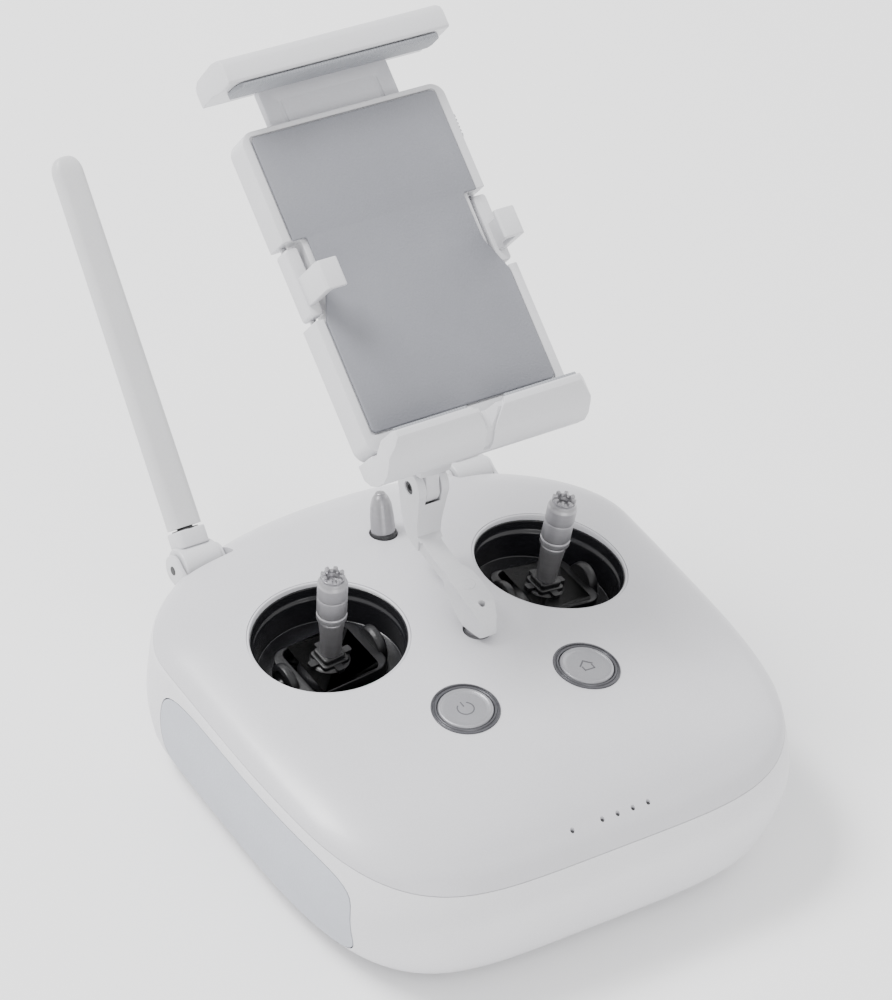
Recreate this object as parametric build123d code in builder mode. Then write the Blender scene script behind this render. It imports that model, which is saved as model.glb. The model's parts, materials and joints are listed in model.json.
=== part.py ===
from build123d import *
from math import atan2, cos, degrees, pi, radians, sin
import os

os.makedirs("parts", exist_ok=True)

# ---------------------------------------------------------------------------
# Driving dimensions, millimetres.  X is the user's right, Y points away from
# the user, Z is up.  The origin is the centre of the flat underside.
# ---------------------------------------------------------------------------

# Body, as horizontal sections: height, half width, rear y, front y,
# y of the widest line, roundness of the rear half, roundness of the front half.
BODY_LEVELS = (
    (0.0, 70.5, 70.0, -71.0, 32.0, 2.2, 4.6),
    (3.0, 78.0, 77.5, -78.5, 32.5, 2.2, 4.6),
    (12.0, 84.0, 83.7, -84.4, 32.7, 2.2, 4.6),
    (30.0, 87.2, 87.1, -86.8, 32.7, 2.2, 4.6),
    (44.0, 87.0, 86.8, -80.3, 32.7, 2.2, 4.5),
    (48.0, 84.0, 83.5, -76.0, 32.0, 2.2, 4.3),
    (51.0, 78.5, 78.5, -72.0, 30.0, 2.2, 4.0),
    (53.5, 70.5, 73.0, -67.5, 26.0, 2.2, 3.6),
    (55.5, 61.5, 66.5, -63.0, 20.0, 2.2, 3.2),
    (57.2, 51.5, 58.0, -58.5, 12.0, 2.1, 2.8),
    (58.6, 40.5, 48.5, -53.0, 5.0, 2.1, 2.5),
    (59.8, 28.0, 34.5, -43.0, -2.0, 2.0, 2.2),
    (60.6, 12.0, 14.0, -24.0, -5.0, 2.0, 2.0),
)
OUTLINE_POINTS = 48
OUTLINE_START = -60.0
SHELL_WALL = 4.0
FLOOR_WALL = 3.0
ROOF_WALL = 2.8
SEAM_SIDE_Z = 45.5
SEAM_FRONT_Z = 38.0
SEAM_BEND_Y = -20.0
SEAM_FRONT_Y = -92.0
SEAM_GAP = 0.2

# Grips
GRIP_REAR_Y = 38.0
GRIP_FRONT_Y = -62.0
GRIP_TOP_Z = 44.3
GRIP_BOTTOM_Z = 5.5
GRIP_CORNER = 7.0
GRIP_INNER_X = 60.0

# Stick wells
WELL_X = 41.0
WELL_Y = 19.0
WELL_Z = 58.0
WELL_LEAN = 0.123
WELL_LEAN_BACK = 0.045
WELL_R = 25.2
WELL_DEPTH = 15.0
WELL_WALL = 1.4
PIVOT_DEPTH = 13.0
GIMBAL_R = 19.5
STICK_LEAN = 0.078
STICK_TOP = 25.3
STICK_R = 3.3
HEAD_R = 4.75
STICK_SWING = 20.0

CHARGE_X = 14.6

# Face buttons and lights
BUTTON_X = 22.15
BUTTON_Y = -28.8
BUTTON_Z = 60.0
BUTTON_LEAN = 0.068
RING_R = 10.5
BUTTON_R = 8.6
BUTTON_TRAVEL = 0.9
LIGHT_R = 0.7
LIGHT_Y = -76.8
LIGHT_PITCH = 5.56
STATUS_LIGHT_X = -13.76
FIRST_BATTERY_LIGHT_X = -2.92

# Centre support of the device holder
POST_R = 3.9
REAR_POST_Y = 53.4
FRONT_POST_Y = -1.0
FACE_Z = 59.6
TILT_Y = 36.0
TILT_Z = 91.0
TILT_PIN_R = 1.5
KNUCKLE_R = 6.3
BRACKET_W = 11.0
TONGUE_W = 5.0

# Device holder, in its own plane: x across, y up the pad, z out of the pad
HOLDER_Y = 20.5
HOLDER_Z = 133.0
HOLDER_TILT = 34.4
HOLDER_HALF_W = 36.0
HOLDER_LEN = 99.0
HOLDER_THICK = 9.5
PAD_HALF_W = 32.7
PAD_LEN = 97.0
PAD_THICK = 1.2
NOTCH_LOW = 38.0
NOTCH_HIGH = 63.0
NOTCH_DEEP = 5.0
SLIDE_HALF_W = 23.0
SLIDE_THICK = 3.0
SLIDE_LOW = 34.0
SLIDE_HIGH = 112.0
JAW_HALF_W = 39.0
JAW_REACH = 12.5
LIP_REACH = 13.0

# Antennas
ANTENNA_X = 51.0
ANTENNA_Y = 80.0
ANTENNA_Z = 43.0
ANTENNA_RISE = 43.5
ANTENNA_PIN_R = 1.5
EAR_INNER = 6.9
EAR_OUTER = 8.5
BLADE_ROOT = 12.0
BLADE_TIP = 135.0
BLADE_HALF_W = 5.6
BLADE_THICK = 6.0
RUN = 0.3


# ---------------------------------------------------------------------------
# Shapes that several pieces share
# ---------------------------------------------------------------------------

def outline(half_w, rear, front, middle, round_rear, round_front):
    """Points of one rounded body section, evenly spaced by angle about its middle."""
    points = []
    for i in range(OUTLINE_POINTS):
        angle = 2 * pi * i / OUTLINE_POINTS + radians(OUTLINE_START)
        power = round_rear if sin(angle) >= 0 else round_front
        depth = rear - middle if sin(angle) >= 0 else middle - front
        reach = (abs(cos(angle) / half_w) ** power + abs(sin(angle) / depth) ** power) ** (-1 / power)
        points.append((reach * cos(angle), middle + reach * sin(angle)))
    return points


def body_form(inset, floor, roof):
    """The body's outer form, drawn in by an inset and squeezed between a floor and a roof height."""
    top = BODY_LEVELS[-1][0]
    with BuildPart() as form:
        for z, half_w, rear, front, middle, round_rear, round_front in BODY_LEVELS:
            height = floor + z * (roof - floor) / top
            shrink = min(inset, 0.3 * half_w)
            shape = outline(half_w - shrink, rear - shrink, front + shrink, middle, round_rear, round_front)
            with BuildSketch(Plane.XY.offset(height)):
                with BuildLine():
                    Spline(*shape, periodic=True)
                make_face()
        loft(ruled=True)
    return form.part


def seam_block(above, gap):
    """Everything above, or below, the parting line, which falls towards the front."""
    far_z = 90.0 if above else -20.0
    shift = gap / 2 if above else -gap / 2
    side_z = SEAM_SIDE_Z + shift
    front_z = SEAM_FRONT_Z + shift
    with BuildPart() as block:
        with BuildSketch(Plane.YZ):
            with BuildLine():
                Line((130, side_z), (SEAM_BEND_Y, side_z))
                TangentArc((SEAM_BEND_Y, side_z), (SEAM_FRONT_Y, front_z), tangent=(-1, 0))
                Line((SEAM_FRONT_Y, front_z), (-130, front_z))
                Line((-130, front_z), (-130, far_z))
                Line((-130, far_z), (130, far_z))
                Line((130, far_z), (130, side_z))
            make_face()
        extrude(amount=130, both=True)
    return block.part


def grip_block(side, grow):
    """The region of the side wall that one grip panel fills, with its corners cut."""
    rear, front = GRIP_REAR_Y + grow, GRIP_FRONT_Y - grow
    low, high = GRIP_BOTTOM_Z - grow, GRIP_TOP_Z + grow
    with BuildPart() as block:
        with BuildSketch(Plane.YZ.offset(side * GRIP_INNER_X)):
            with BuildLine():
                Polyline(
                    (front, low + GRIP_CORNER), (front + GRIP_CORNER, low), (rear - GRIP_CORNER, low),
                    (rear, low + GRIP_CORNER), (rear, high - GRIP_CORNER), (rear - GRIP_CORNER, high),
                    (front + GRIP_CORNER, high), (front, high - GRIP_CORNER), (front, low + GRIP_CORNER),
                )
            make_face()
        extrude(amount=side * 40)
    return block.part


def leaning_plane(x, y, z, lean_x, lean_y=0.0):
    """A plane whose normal leans by the given slopes from vertical."""
    return Plane(origin=(x, y, z), x_dir=(1, 0, -lean_x), z_dir=(lean_x, lean_y, 1))


def well_plane(side):
    return leaning_plane(side * WELL_X, WELL_Y, WELL_Z, side * WELL_LEAN, WELL_LEAN_BACK)


def button_plane(side):
    return leaning_plane(side * BUTTON_X, BUTTON_Y, BUTTON_Z, side * BUTTON_LEAN)


def stick_plane(side):
    """Plane through the stick's pivot, with its normal along the stick."""
    pivot = well_plane(side).from_local_coords((0, 0, -PIVOT_DEPTH))
    return Plane(origin=pivot, x_dir=(1, 0, 0), z_dir=(side * STICK_LEAN, 0.01, 1))


holder_plane = Plane(
    origin=(0, HOLDER_Y, HOLDER_Z),
    x_dir=(1, 0, 0),
    z_dir=(0, -sin(radians(HOLDER_TILT)), cos(radians(HOLDER_TILT))),
)
holder_side = Plane(origin=holder_plane.origin, x_dir=holder_plane.y_dir, z_dir=(1, 0, 0))


def antenna_plane(side):
    """Origin on the fold axis, normal along the raised blade."""
    rise = radians(ANTENNA_RISE)
    return Plane(
        origin=(side * ANTENNA_X, ANTENNA_Y, ANTENNA_Z), x_dir=(1, 0, 0), z_dir=(0, cos(rise), sin(rise))
    )


def wall_plane(angle, z):
    """A plane on the side wall, angle in degrees about the body's middle, normal pointing out."""
    level = BODY_LEVELS[3]
    points = outline(*level[1:])
    index = round((angle - OUTLINE_START) / 360 * OUTLINE_POINTS) % OUTLINE_POINTS
    here = points[index]
    after = points[(index + 1) % OUTLINE_POINTS]
    before = points[index - 1]
    along = Vector(after[0] - before[0], after[1] - before[1], 0).normalized()
    outward = Vector(along.Y, -along.X, 0)
    return Plane(origin=(here[0], here[1], z), x_dir=along, z_dir=outward)


def save(piece, name):
    piece.part.label = name
    export_step(piece.part, f"parts/{name}.step")


outer_form = body_form(0, 0, 60.6)
inner_form = body_form(SHELL_WALL, FLOOR_WALL, 60.6 - ROOF_WALL)
above_seam = seam_block(True, SEAM_GAP)
below_seam = seam_block(False, SEAM_GAP)

SIDES = (("left", -1), ("right", 1))
REAR_CONTROLS = (
    ("left_dial", 112.5, 36.0),
    ("record_button", 127.5, 34.0),
    ("mode_switch", 127.5, 24.0),
    ("right_dial", 67.5, 36.0),
    ("shutter_button", 52.5, 34.0),
    ("playback_button", 52.5, 24.0),
)


# ---------------------------------------------------------------------------
# Body shells and grips
# ---------------------------------------------------------------------------

rear_post_plane = leaning_plane(0, REAR_POST_Y, FACE_Z, 0, 0.35)
front_post_plane = leaning_plane(0, FRONT_POST_Y, FACE_Z, 0)

with BuildPart() as top_shell:
    add(outer_form)
    add(above_seam, mode=Mode.INTERSECT)
    add(inner_form, mode=Mode.SUBTRACT)
    for _, side in SIDES:
        with BuildSketch(well_plane(side).offset(-12)):
            Circle(WELL_R)
        extrude(amount=24, mode=Mode.SUBTRACT)
        with BuildSketch(button_plane(side).offset(-10)):
            Circle(RING_R + 0.1)
        extrude(amount=20, mode=Mode.SUBTRACT)
        with BuildSketch(Plane.XY.offset(40)):
            with Locations((side * ANTENNA_X, ANTENNA_Y + 6)):
                Rectangle(2 * EAR_OUTER + 0.6, 27)
        extrude(amount=20, mode=Mode.SUBTRACT)
    for x in [STATUS_LIGHT_X] + [FIRST_BATTERY_LIGHT_X + i * LIGHT_PITCH for i in range(4)]:
        with BuildSketch(Plane.XY.offset(30)):
            with Locations((x, LIGHT_Y)):
                Circle(LIGHT_R)
        extrude(amount=40, mode=Mode.SUBTRACT)
    for plane in (rear_post_plane, front_post_plane):
        with BuildSketch(plane.offset(-9)):
            Circle(POST_R + 0.6)
        extrude(amount=18, mode=Mode.SUBTRACT)
save(top_shell, "top_shell")

with BuildPart() as bottom_shell:
    add(outer_form)
    add(below_seam, mode=Mode.INTERSECT)
    add(inner_form, mode=Mode.SUBTRACT)
    for _, side in SIDES:
        add(grip_block(side, 0.15), mode=Mode.SUBTRACT)
    with BuildSketch(Plane.XY.offset(FLOOR_WALL - 0.5)):
        with GridLocations(96, 92, 2, 2):
            Circle(4)
    extrude(amount=23.5)
    with BuildSketch(Plane.XY.offset(-1)):
        with GridLocations(96, 92, 2, 2):
            Circle(1.6)
    extrude(amount=22, mode=Mode.SUBTRACT)
    with BuildSketch(Plane.XY.offset(-1)):
        with GridLocations(96, 92, 2, 2):
            Circle(3.2)
        with Locations((-58, -8), (58, -8)):
            Circle(4.3)
    extrude(amount=2.8, mode=Mode.SUBTRACT)
    with BuildSketch(Plane.XY.offset(-1)):
        with Locations((-58, -8), (58, -8)):
            Circle(4.3)
    extrude(amount=6.0, mode=Mode.SUBTRACT)
    with BuildSketch(Plane.XY.offset(-1)):
        with GridLocations(80, 110, 2, 2):
            Circle(6.1)
    extrude(amount=2.0, mode=Mode.SUBTRACT)
    with BuildSketch(Plane.XY.offset(35.6)):
        for _, side in SIDES:
            with Locations((side * ANTENNA_X, ANTENNA_Y + 6)):
                Rectangle(2 * EAR_OUTER + 0.6, 28.6)
    extrude(amount=30, mode=Mode.SUBTRACT)
    with BuildSketch(Plane.XZ.offset(-92)):
        with Locations((0, 24)):
            Rectangle(46, 16)
    extrude(amount=20, mode=Mode.SUBTRACT)
    for name, angle, z in REAR_CONTROLS:
        with BuildSketch(wall_plane(angle, z).offset(-9)):
            if "dial" in name:
                Rectangle(19.0, 7.0)
            elif "switch" in name:
                Rectangle(13.0, 5.0)
            else:
                RegularPolygon(4.4, 12, major_radius=False)
        extrude(amount=12, mode=Mode.SUBTRACT)
save(bottom_shell, "bottom_shell")

for name, side in SIDES:
    with BuildPart() as grip:
        add(outer_form)
        add(grip_block(side, 0), mode=Mode.INTERSECT)
        add(inner_form, mode=Mode.SUBTRACT)
        add(below_seam, mode=Mode.INTERSECT)
    save(grip, f"{name}_grip")

with BuildPart() as base_screws:
    with BuildSketch(Plane.XY.offset(0.2)):
        with GridLocations(96, 92, 2, 2):
            Circle(2.9)
            RegularPolygon(1.3, 6, mode=Mode.SUBTRACT)
    extrude(amount=1.6)
    with BuildSketch(Plane.XY.offset(1.7)):
        with GridLocations(96, 92, 2, 2):
            Circle(1.45)
    extrude(amount=17)
save(base_screws, "base_screws")

with BuildPart() as base_pads:
    with BuildSketch(Plane.XY):
        with GridLocations(80, 110, 2, 2):
            Circle(6.0)
    extrude(amount=0.95)
save(base_pads, "base_pads")

# ---------------------------------------------------------------------------
# Inside the body
# ---------------------------------------------------------------------------

with BuildPart() as battery_pack:
    with BuildSketch(Plane.XY.offset(3.4)):
        with Locations((0, -18)):
            RectangleRounded(64, 52, 4)
    extrude(amount=18)
    fillet(battery_pack.edges().group_by(Axis.Z)[-1], 1.5)
save(battery_pack, "battery_pack")

with BuildPart() as main_board:
    with BuildSketch(Plane.XY.offset(26.2)):
        RectangleRounded(112, 104, 5)
    extrude(amount=1.6)
    with BuildSketch(Plane.XY.offset(27.8)):
        with Locations((0, -40)):
            Rectangle(26, 20)
    extrude(amount=3)
save(main_board, "main_board")

with BuildPart() as rear_panel:
    with BuildSketch(Plane.XZ.offset(-85.4)):
        with Locations((0, 24)):
            Rectangle(45.6, 15.6)
        with Locations((0, 24)):
            Rectangle(14.4, 7.0, mode=Mode.SUBTRACT)
        with Locations((CHARGE_X, 24)):
            Rectangle(10.4, 6.4, mode=Mode.SUBTRACT)
    extrude(amount=2.4)
save(rear_panel, "rear_panel")

with BuildPart() as usb_port:
    with BuildSketch(Plane.XZ.offset(-85.2)):
        with Locations((0, 24)):
            Rectangle(14.0, 6.6)
    extrude(amount=14)
    with BuildSketch(Plane.XZ.offset(-85.2)):
        with Locations((0, 24)):
            Rectangle(13.0, 5.6)
    extrude(amount=13.0, mode=Mode.SUBTRACT)
save(usb_port, "usb_port")

with BuildPart() as charge_port:
    with BuildSketch(Plane.XZ.offset(-85.2)):
        with Locations((CHARGE_X, 24)):
            Rectangle(10.0, 6.0)
    extrude(amount=12)
    with BuildSketch(Plane.XZ.offset(-85.2)):
        with Locations((CHARGE_X, 24)):
            Rectangle(8.2, 4.2)
    extrude(amount=9, mode=Mode.SUBTRACT)
save(charge_port, "charge_port")

# ---------------------------------------------------------------------------
# Stick wells, gimbals and sticks
# ---------------------------------------------------------------------------

for name, side in SIDES:
    plane = well_plane(side)
    with BuildPart() as well:
        with BuildSketch(plane.offset(-WELL_DEPTH - WELL_WALL)):
            Circle(WELL_R - 0.15)
        extrude(amount=WELL_DEPTH + WELL_WALL - 0.4)
        with BuildSketch(plane.offset(-WELL_DEPTH)):
            Circle(WELL_R - 0.15 - WELL_WALL)
        extrude(amount=WELL_DEPTH, mode=Mode.SUBTRACT)
        with BuildSketch(plane.offset(-WELL_DEPTH - 3)):
            Circle(16.0)
        extrude(amount=6, mode=Mode.SUBTRACT)
    save(well, f"{name}_well")

    pivot = Plane(origin=stick_plane(side).origin, x_dir=plane.x_dir, z_dir=plane.z_dir)
    with BuildPart() as gimbal:
        with BuildSketch(pivot.offset(-1.2)):
            Circle(15.2)
            Circle(11.6, mode=Mode.SUBTRACT)
        extrude(amount=4.2)
        for end in (-1, 1):
            axle = Plane(origin=pivot.from_local_coords((end * 15.0, 0, 0.9)), z_dir=pivot.x_dir * end)
            with BuildSketch(axle):
                Circle(1.6)
            extrude(amount=4.5)
    save(gimbal, f"{name}_gimbal")

    with BuildPart() as boot:
        with BuildSketch(pivot.offset(-3)):
            Circle(9.6)
        extrude(amount=6, taper=12)
        with BuildSketch(pivot.offset(2.9)):
            RectangleRounded(9.5, 9.5, 1.6)
        extrude(amount=3.2, taper=10)
        for end in (-1, 1):
            axle = Plane(origin=pivot.from_local_coords((0, end * 8.6, 0)), z_dir=pivot.y_dir * end)
            with BuildSketch(axle):
                Circle(1.2)
            extrude(amount=2.7)
    save(boot, f"{name}_boot")

    along = stick_plane(side)
    top = PIVOT_DEPTH + STICK_TOP
    with BuildPart() as stick:
        with BuildSketch(along.offset(6.8)):
            Circle(STICK_R)
        extrude(amount=top - 18.0 - 6.8, taper=-3.5)
    save(stick, f"{name}_stick")

    with BuildPart() as head:
        with BuildSketch(along.offset(top - 17.9)):
            Circle(HEAD_R)
        extrude(amount=17.9)
        chamfer(head.edges().filter_by(GeomType.CIRCLE).sort_by(Axis.Z)[-1], 1.2)
        with BuildSketch(along.offset(top - 1.6)):
            Circle(1.9)
        extrude(amount=2, mode=Mode.SUBTRACT)
    save(head, f"{name}_stick_head")

# ---------------------------------------------------------------------------
# Face buttons and lights
# ---------------------------------------------------------------------------

for name, side in (("power", -1), ("home", 1)):
    plane = button_plane(side)
    with BuildPart() as ring:
        with BuildSketch(plane.offset(-3.0)):
            Circle(RING_R)
            Circle(BUTTON_R + 0.15, mode=Mode.SUBTRACT)
        extrude(amount=3.1)
    save(ring, f"{name}_button_ring")
    with BuildPart() as button:
        with BuildSketch(plane.offset(-4.0)):
            Circle(BUTTON_R)
        extrude(amount=4.3)
        chamfer(button.edges().filter_by(GeomType.CIRCLE).sort_by(Axis.Z)[-1], 0.4)
        with BuildSketch(plane.offset(-7.0)):
            Circle(2.0)
        extrude(amount=3.2)
    save(button, f"{name}_button")

with BuildPart() as status_light:
    with BuildSketch(Plane.XY.offset(40)):
        with Locations((STATUS_LIGHT_X, LIGHT_Y)):
            Circle(LIGHT_R - 0.02)
    extrude(amount=8)
    add(outer_form, mode=Mode.INTERSECT)
save(status_light, "status_light")

with BuildPart() as battery_lights:
    with BuildSketch(Plane.XY.offset(40)):
        with Locations([(FIRST_BATTERY_LIGHT_X + i * LIGHT_PITCH, LIGHT_Y) for i in range(4)]):
            Circle(LIGHT_R - 0.02)
    extrude(amount=8)
    add(outer_form, mode=Mode.INTERSECT)
save(battery_lights, "battery_lights")

# ---------------------------------------------------------------------------
# Controls on the rear shoulders and underneath
# ---------------------------------------------------------------------------

for name, angle, z in REAR_CONTROLS:
    plane = wall_plane(angle, z)
    with BuildPart() as control:
        if "dial" in name:
            roller = Plane(origin=plane.from_local_coords((0, 0, -6.2)), x_dir=plane.x_dir, z_dir=plane.y_dir)
            with BuildSketch(roller):
                Circle(8.6)
            extrude(amount=3.0, both=True)
        elif "switch" in name:
            with BuildSketch(plane.offset(-9.4)):
                Rectangle(16.0, 4.4)
            extrude(amount=2.0)
            with BuildSketch(plane.offset(-7.5)):
                Rectangle(5.0, 4.0)
            extrude(amount=9.0)
        else:
            with BuildSketch(plane.offset(-5)):
                Circle(4.0)
            extrude(amount=6.3)
            chamfer(control.edges().filter_by(GeomType.CIRCLE)[-1], 0.5)
    save(control, name)

for name, side in SIDES:
    with BuildPart() as custom:
        with BuildSketch(Plane.XY.offset(0.3)):
            with Locations((side * 58, -8)):
                Circle(4.0)
        extrude(amount=5)
    save(custom, f"{name}_custom_button")

# ---------------------------------------------------------------------------
# Centre support: two posts in the face, a bracket across them, the tilt pin
# ---------------------------------------------------------------------------

with BuildPart() as rear_post:
    with BuildSketch(rear_post_plane.offset(-3.5)):
        Circle(POST_R)
    extrude(amount=11.5)
    with BuildSketch(rear_post_plane.offset(7.9)):
        Circle(POST_R)
    extrude(amount=4.6, taper=28)
save(rear_post, "rear_post")

with BuildPart() as front_post:
    with BuildSketch(Plane.XY.offset(FACE_Z - 4)):
        with Locations((0, FRONT_POST_Y)):
            Circle(POST_R)
    extrude(amount=12.4)
save(front_post, "front_post")

with BuildPart() as bracket:
    with BuildSketch(Plane.YZ):
        with BuildLine():
            Polyline(
                (-5.4, 68.2), (-5.0, 71.0), (-2.0, 72.6), (12.0, 73.4), (15.0, 72.4), (30.0, 74.0),
                (29.6, TILT_Z), (42.4, TILT_Z), (37.8, 73.6), (33.0, 70.6), (15.0, 69.4), (12.0, 68.2),
                (-5.4, 68.2),
            )
        make_face()
        with Locations((TILT_Y, TILT_Z)):
            Circle(KNUCKLE_R)
    extrude(amount=BRACKET_W / 2, both=True)
    with BuildSketch(Plane.YZ):
        with Locations((TILT_Y, TILT_Z)):
            Circle(KNUCKLE_R + 0.5)
    extrude(amount=TONGUE_W / 2 + RUN, both=True, mode=Mode.SUBTRACT)
    for side in (-1, 1):
        with BuildSketch(Plane.XY.offset(60)):
            with Locations((side * (2.9 + 5), 22.5)):
                Rectangle(10, 15)
        extrude(amount=14.2, mode=Mode.SUBTRACT)
    with BuildSketch(Plane.YZ):
        with Locations((TILT_Y, TILT_Z)):
            Circle(TILT_PIN_R)
    extrude(amount=10, both=True, mode=Mode.SUBTRACT)
    with BuildSketch(Plane.XY.offset(60)):
        with Locations((0, 7.0)):
            Circle(1.5)
    extrude(amount=20, mode=Mode.SUBTRACT)
save(bracket, "support_bracket")

with BuildPart() as tilt_pin:
    with BuildSketch(Plane.YZ.offset(-BRACKET_W / 2 + 0.4)):
        with Locations((TILT_Y, TILT_Z)):
            Circle(TILT_PIN_R - 0.03)
    extrude(amount=BRACKET_W - 0.8)
save(tilt_pin, "tilt_pin")

# ---------------------------------------------------------------------------
# Device holder
# ---------------------------------------------------------------------------

with BuildPart() as neck:
    with BuildSketch(Plane.YZ):
        with BuildLine():
            Polyline(
                (30.4, TILT_Z + KNUCKLE_R + 1.2), (29.0, 108.0), (27.0, 123.4), (48.0, 137.8),
                (45.0, 116.0), (41.6, TILT_Z + KNUCKLE_R + 1.2), (30.4, TILT_Z + KNUCKLE_R + 1.2),
            )
        make_face()
    extrude(amount=BRACKET_W / 2, both=True)
    with BuildSketch(Plane.YZ):
        with Locations((TILT_Y, TILT_Z)):
            Circle(KNUCKLE_R - 0.3)
        with Locations((TILT_Y, TILT_Z + 5)):
            Rectangle(8.0, 10.0)
    extrude(amount=TONGUE_W / 2, both=True)
    with BuildSketch(Plane.YZ):
        with Locations((TILT_Y, TILT_Z)):
            Circle(TILT_PIN_R + 0.05)
    extrude(amount=10, both=True, mode=Mode.SUBTRACT)
    with BuildSketch(holder_plane.offset(-PAD_THICK - HOLDER_THICK)):
        with Locations((0, 40)):
            Rectangle(90, 160)
    extrude(amount=30, mode=Mode.SUBTRACT)
save(neck, "holder_neck")

with BuildPart() as holder_back:
    with BuildSketch(holder_plane.offset(-PAD_THICK - HOLDER_THICK)):
        with Locations((0, (HOLDER_LEN - 6) / 2)):
            RectangleRounded(2 * HOLDER_HALF_W, HOLDER_LEN + 6, 3)
    extrude(amount=HOLDER_THICK)
    with BuildSketch(holder_plane.offset(-6.6)):
        with Locations((0, 59.5)):
            Rectangle(2 * SLIDE_HALF_W + 2 * RUN, 83)
    extrude(amount=SLIDE_THICK + 2 * RUN, mode=Mode.SUBTRACT)
    for side in (-1, 1):
        with BuildSketch(holder_plane.offset(-12)):
            with Locations((side * 33.4, (NOTCH_LOW + NOTCH_HIGH) / 2)):
                Rectangle(7.4, NOTCH_HIGH - NOTCH_LOW)
        extrude(amount=12, mode=Mode.SUBTRACT)
    with BuildSketch(holder_side.offset(20)):
        with Locations((85, -6.2)):
            Rectangle(9.0, 4.6)
    extrude(amount=20, mode=Mode.SUBTRACT)
save(holder_back, "holder_back")

with BuildPart() as pad:
    with BuildSketch(holder_plane.offset(-PAD_THICK)):
        with Locations((0, PAD_LEN / 2)):
            Rectangle(2 * PAD_HALF_W, PAD_LEN)
        for side in (-1, 1):
            with BuildLine():
                Polyline(
                    (side * 40, NOTCH_HIGH), (side * (PAD_HALF_W - NOTCH_DEEP), NOTCH_HIGH),
                    (side * (PAD_HALF_W - NOTCH_DEEP), NOTCH_HIGH - 11), (side * 40, NOTCH_LOW - 20),
                    (side * 40, NOTCH_HIGH),
                )
            make_face(mode=Mode.SUBTRACT)
    extrude(amount=PAD_THICK)
save(pad, "holder_pad")

with BuildPart() as slide:
    with BuildSketch(holder_plane.offset(-6.3)):
        with Locations((0, (SLIDE_LOW + SLIDE_HIGH) / 2)):
            Rectangle(2 * SLIDE_HALF_W, SLIDE_HIGH - SLIDE_LOW)
    extrude(amount=SLIDE_THICK)
save(slide, "extension_slide")

with BuildPart() as jaw:
    with BuildSketch(holder_side):
        with BuildLine():
            Polyline(
                (112.0, -9.5), (112.0, 0.0), (111.0, 5.0), (111.0, JAW_REACH), (118.0, JAW_REACH),
                (120.5, 9.0), (120.5, -7.0), (118.0, -9.5), (112.0, -9.5),
            )
        make_face()
    extrude(amount=JAW_HALF_W, both=True)
save(jaw, "top_jaw")

with BuildPart() as jaw_rubber:
    with BuildSketch(holder_side):
        with BuildLine():
            Polyline((111.95, 0.0), (110.95, 5.0), (110.95, 11.6), (109.4, 11.6), (109.4, 1.0), (110.4, 0.0),
                     (111.95, 0.0))
        make_face()
    extrude(amount=JAW_HALF_W - 3, both=True)
save(jaw_rubber, "jaw_rubber")

with BuildPart() as lip:
    with BuildSketch(holder_side):
        with BuildLine():
            Polyline(
                (-6.05, -10.7), (-11.0, -10.7), (-14.6, -6.0), (-15.0, 0.0), (-12.6, 6.0), (-6.0, LIP_REACH),
                (-3.4, LIP_REACH), (-4.6, 8.0), (-8.0, 1.0), (-6.05, -1.2), (-6.05, -10.7),
            )
        make_face()
    extrude(amount=HOLDER_HALF_W, both=True)
    with BuildSketch(holder_plane.offset(2)):
        with BuildLine():
            Polyline((-1.6, -20), (-5.5, 0), (5.5, 0), (1.6, -20), (-1.6, -20))
        make_face()
    extrude(amount=20, mode=Mode.SUBTRACT)
save(lip, "bottom_lip")

with BuildPart() as lip_rubber:
    with BuildSketch(holder_side):
        with BuildLine():
            Polyline((-3.3, 12.4), (-4.5, 8.0), (-7.9, 1.0), (-6.6, 0.2), (-3.2, 7.4), (-2.0, 12.0), (-3.3, 12.4))
        make_face()
    extrude(amount=HOLDER_HALF_W - 2, both=True)
    with BuildSketch(holder_plane.offset(-2)):
        Rectangle(12.0, 40)
    extrude(amount=20, mode=Mode.SUBTRACT)
save(lip_rubber, "lip_rubber")

clip_mid = (NOTCH_LOW + NOTCH_HIGH) / 2
with BuildPart() as clip_pins:
    for side in (-1, 1):
        pin = Plane(
            origin=holder_plane.from_local_coords((side * 33.6, NOTCH_LOW + 0.05, -6.5)),
            x_dir=(1, 0, 0),
            z_dir=holder_plane.y_dir,
        )
        with BuildSketch(pin):
            Circle(1.0)
        extrude(amount=NOTCH_HIGH - NOTCH_LOW - 0.1)
save(clip_pins, "clip_pins")

for name, side in SIDES:
    with BuildPart() as clip:
        with BuildSketch(holder_plane.offset(-8.8)):
            with Locations((side * 33.6, clip_mid)):
                Rectangle(4.6, 22)
        extrude(amount=7.0)
        with BuildSketch(holder_plane.offset(-1.9)):
            with Locations((side * 33.6, clip_mid - 3)):
                Rectangle(3.2, 12)
        extrude(amount=14.4)
        with BuildSketch(holder_plane.offset(10.1)):
            with Locations((side * 31.4, clip_mid - 3)):
                Rectangle(7.6, 12)
        extrude(amount=2.4)
        bore = Plane(
            origin=holder_plane.from_local_coords((side * 33.6, NOTCH_LOW, -6.5)),
            x_dir=(1, 0, 0),
            z_dir=holder_plane.y_dir,
        )
        with BuildSketch(bore):
            Circle(1.05)
        extrude(amount=30, mode=Mode.SUBTRACT)
    save(clip, f"{name}_clip")

with BuildPart() as release:
    with BuildSketch(holder_side.offset(31)):
        with Locations((85, -6.2)):
            Rectangle(8.4, 4.0)
    extrude(amount=7.6)
save(release, "release_button")

# ---------------------------------------------------------------------------
# Antennas
# ---------------------------------------------------------------------------

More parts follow.
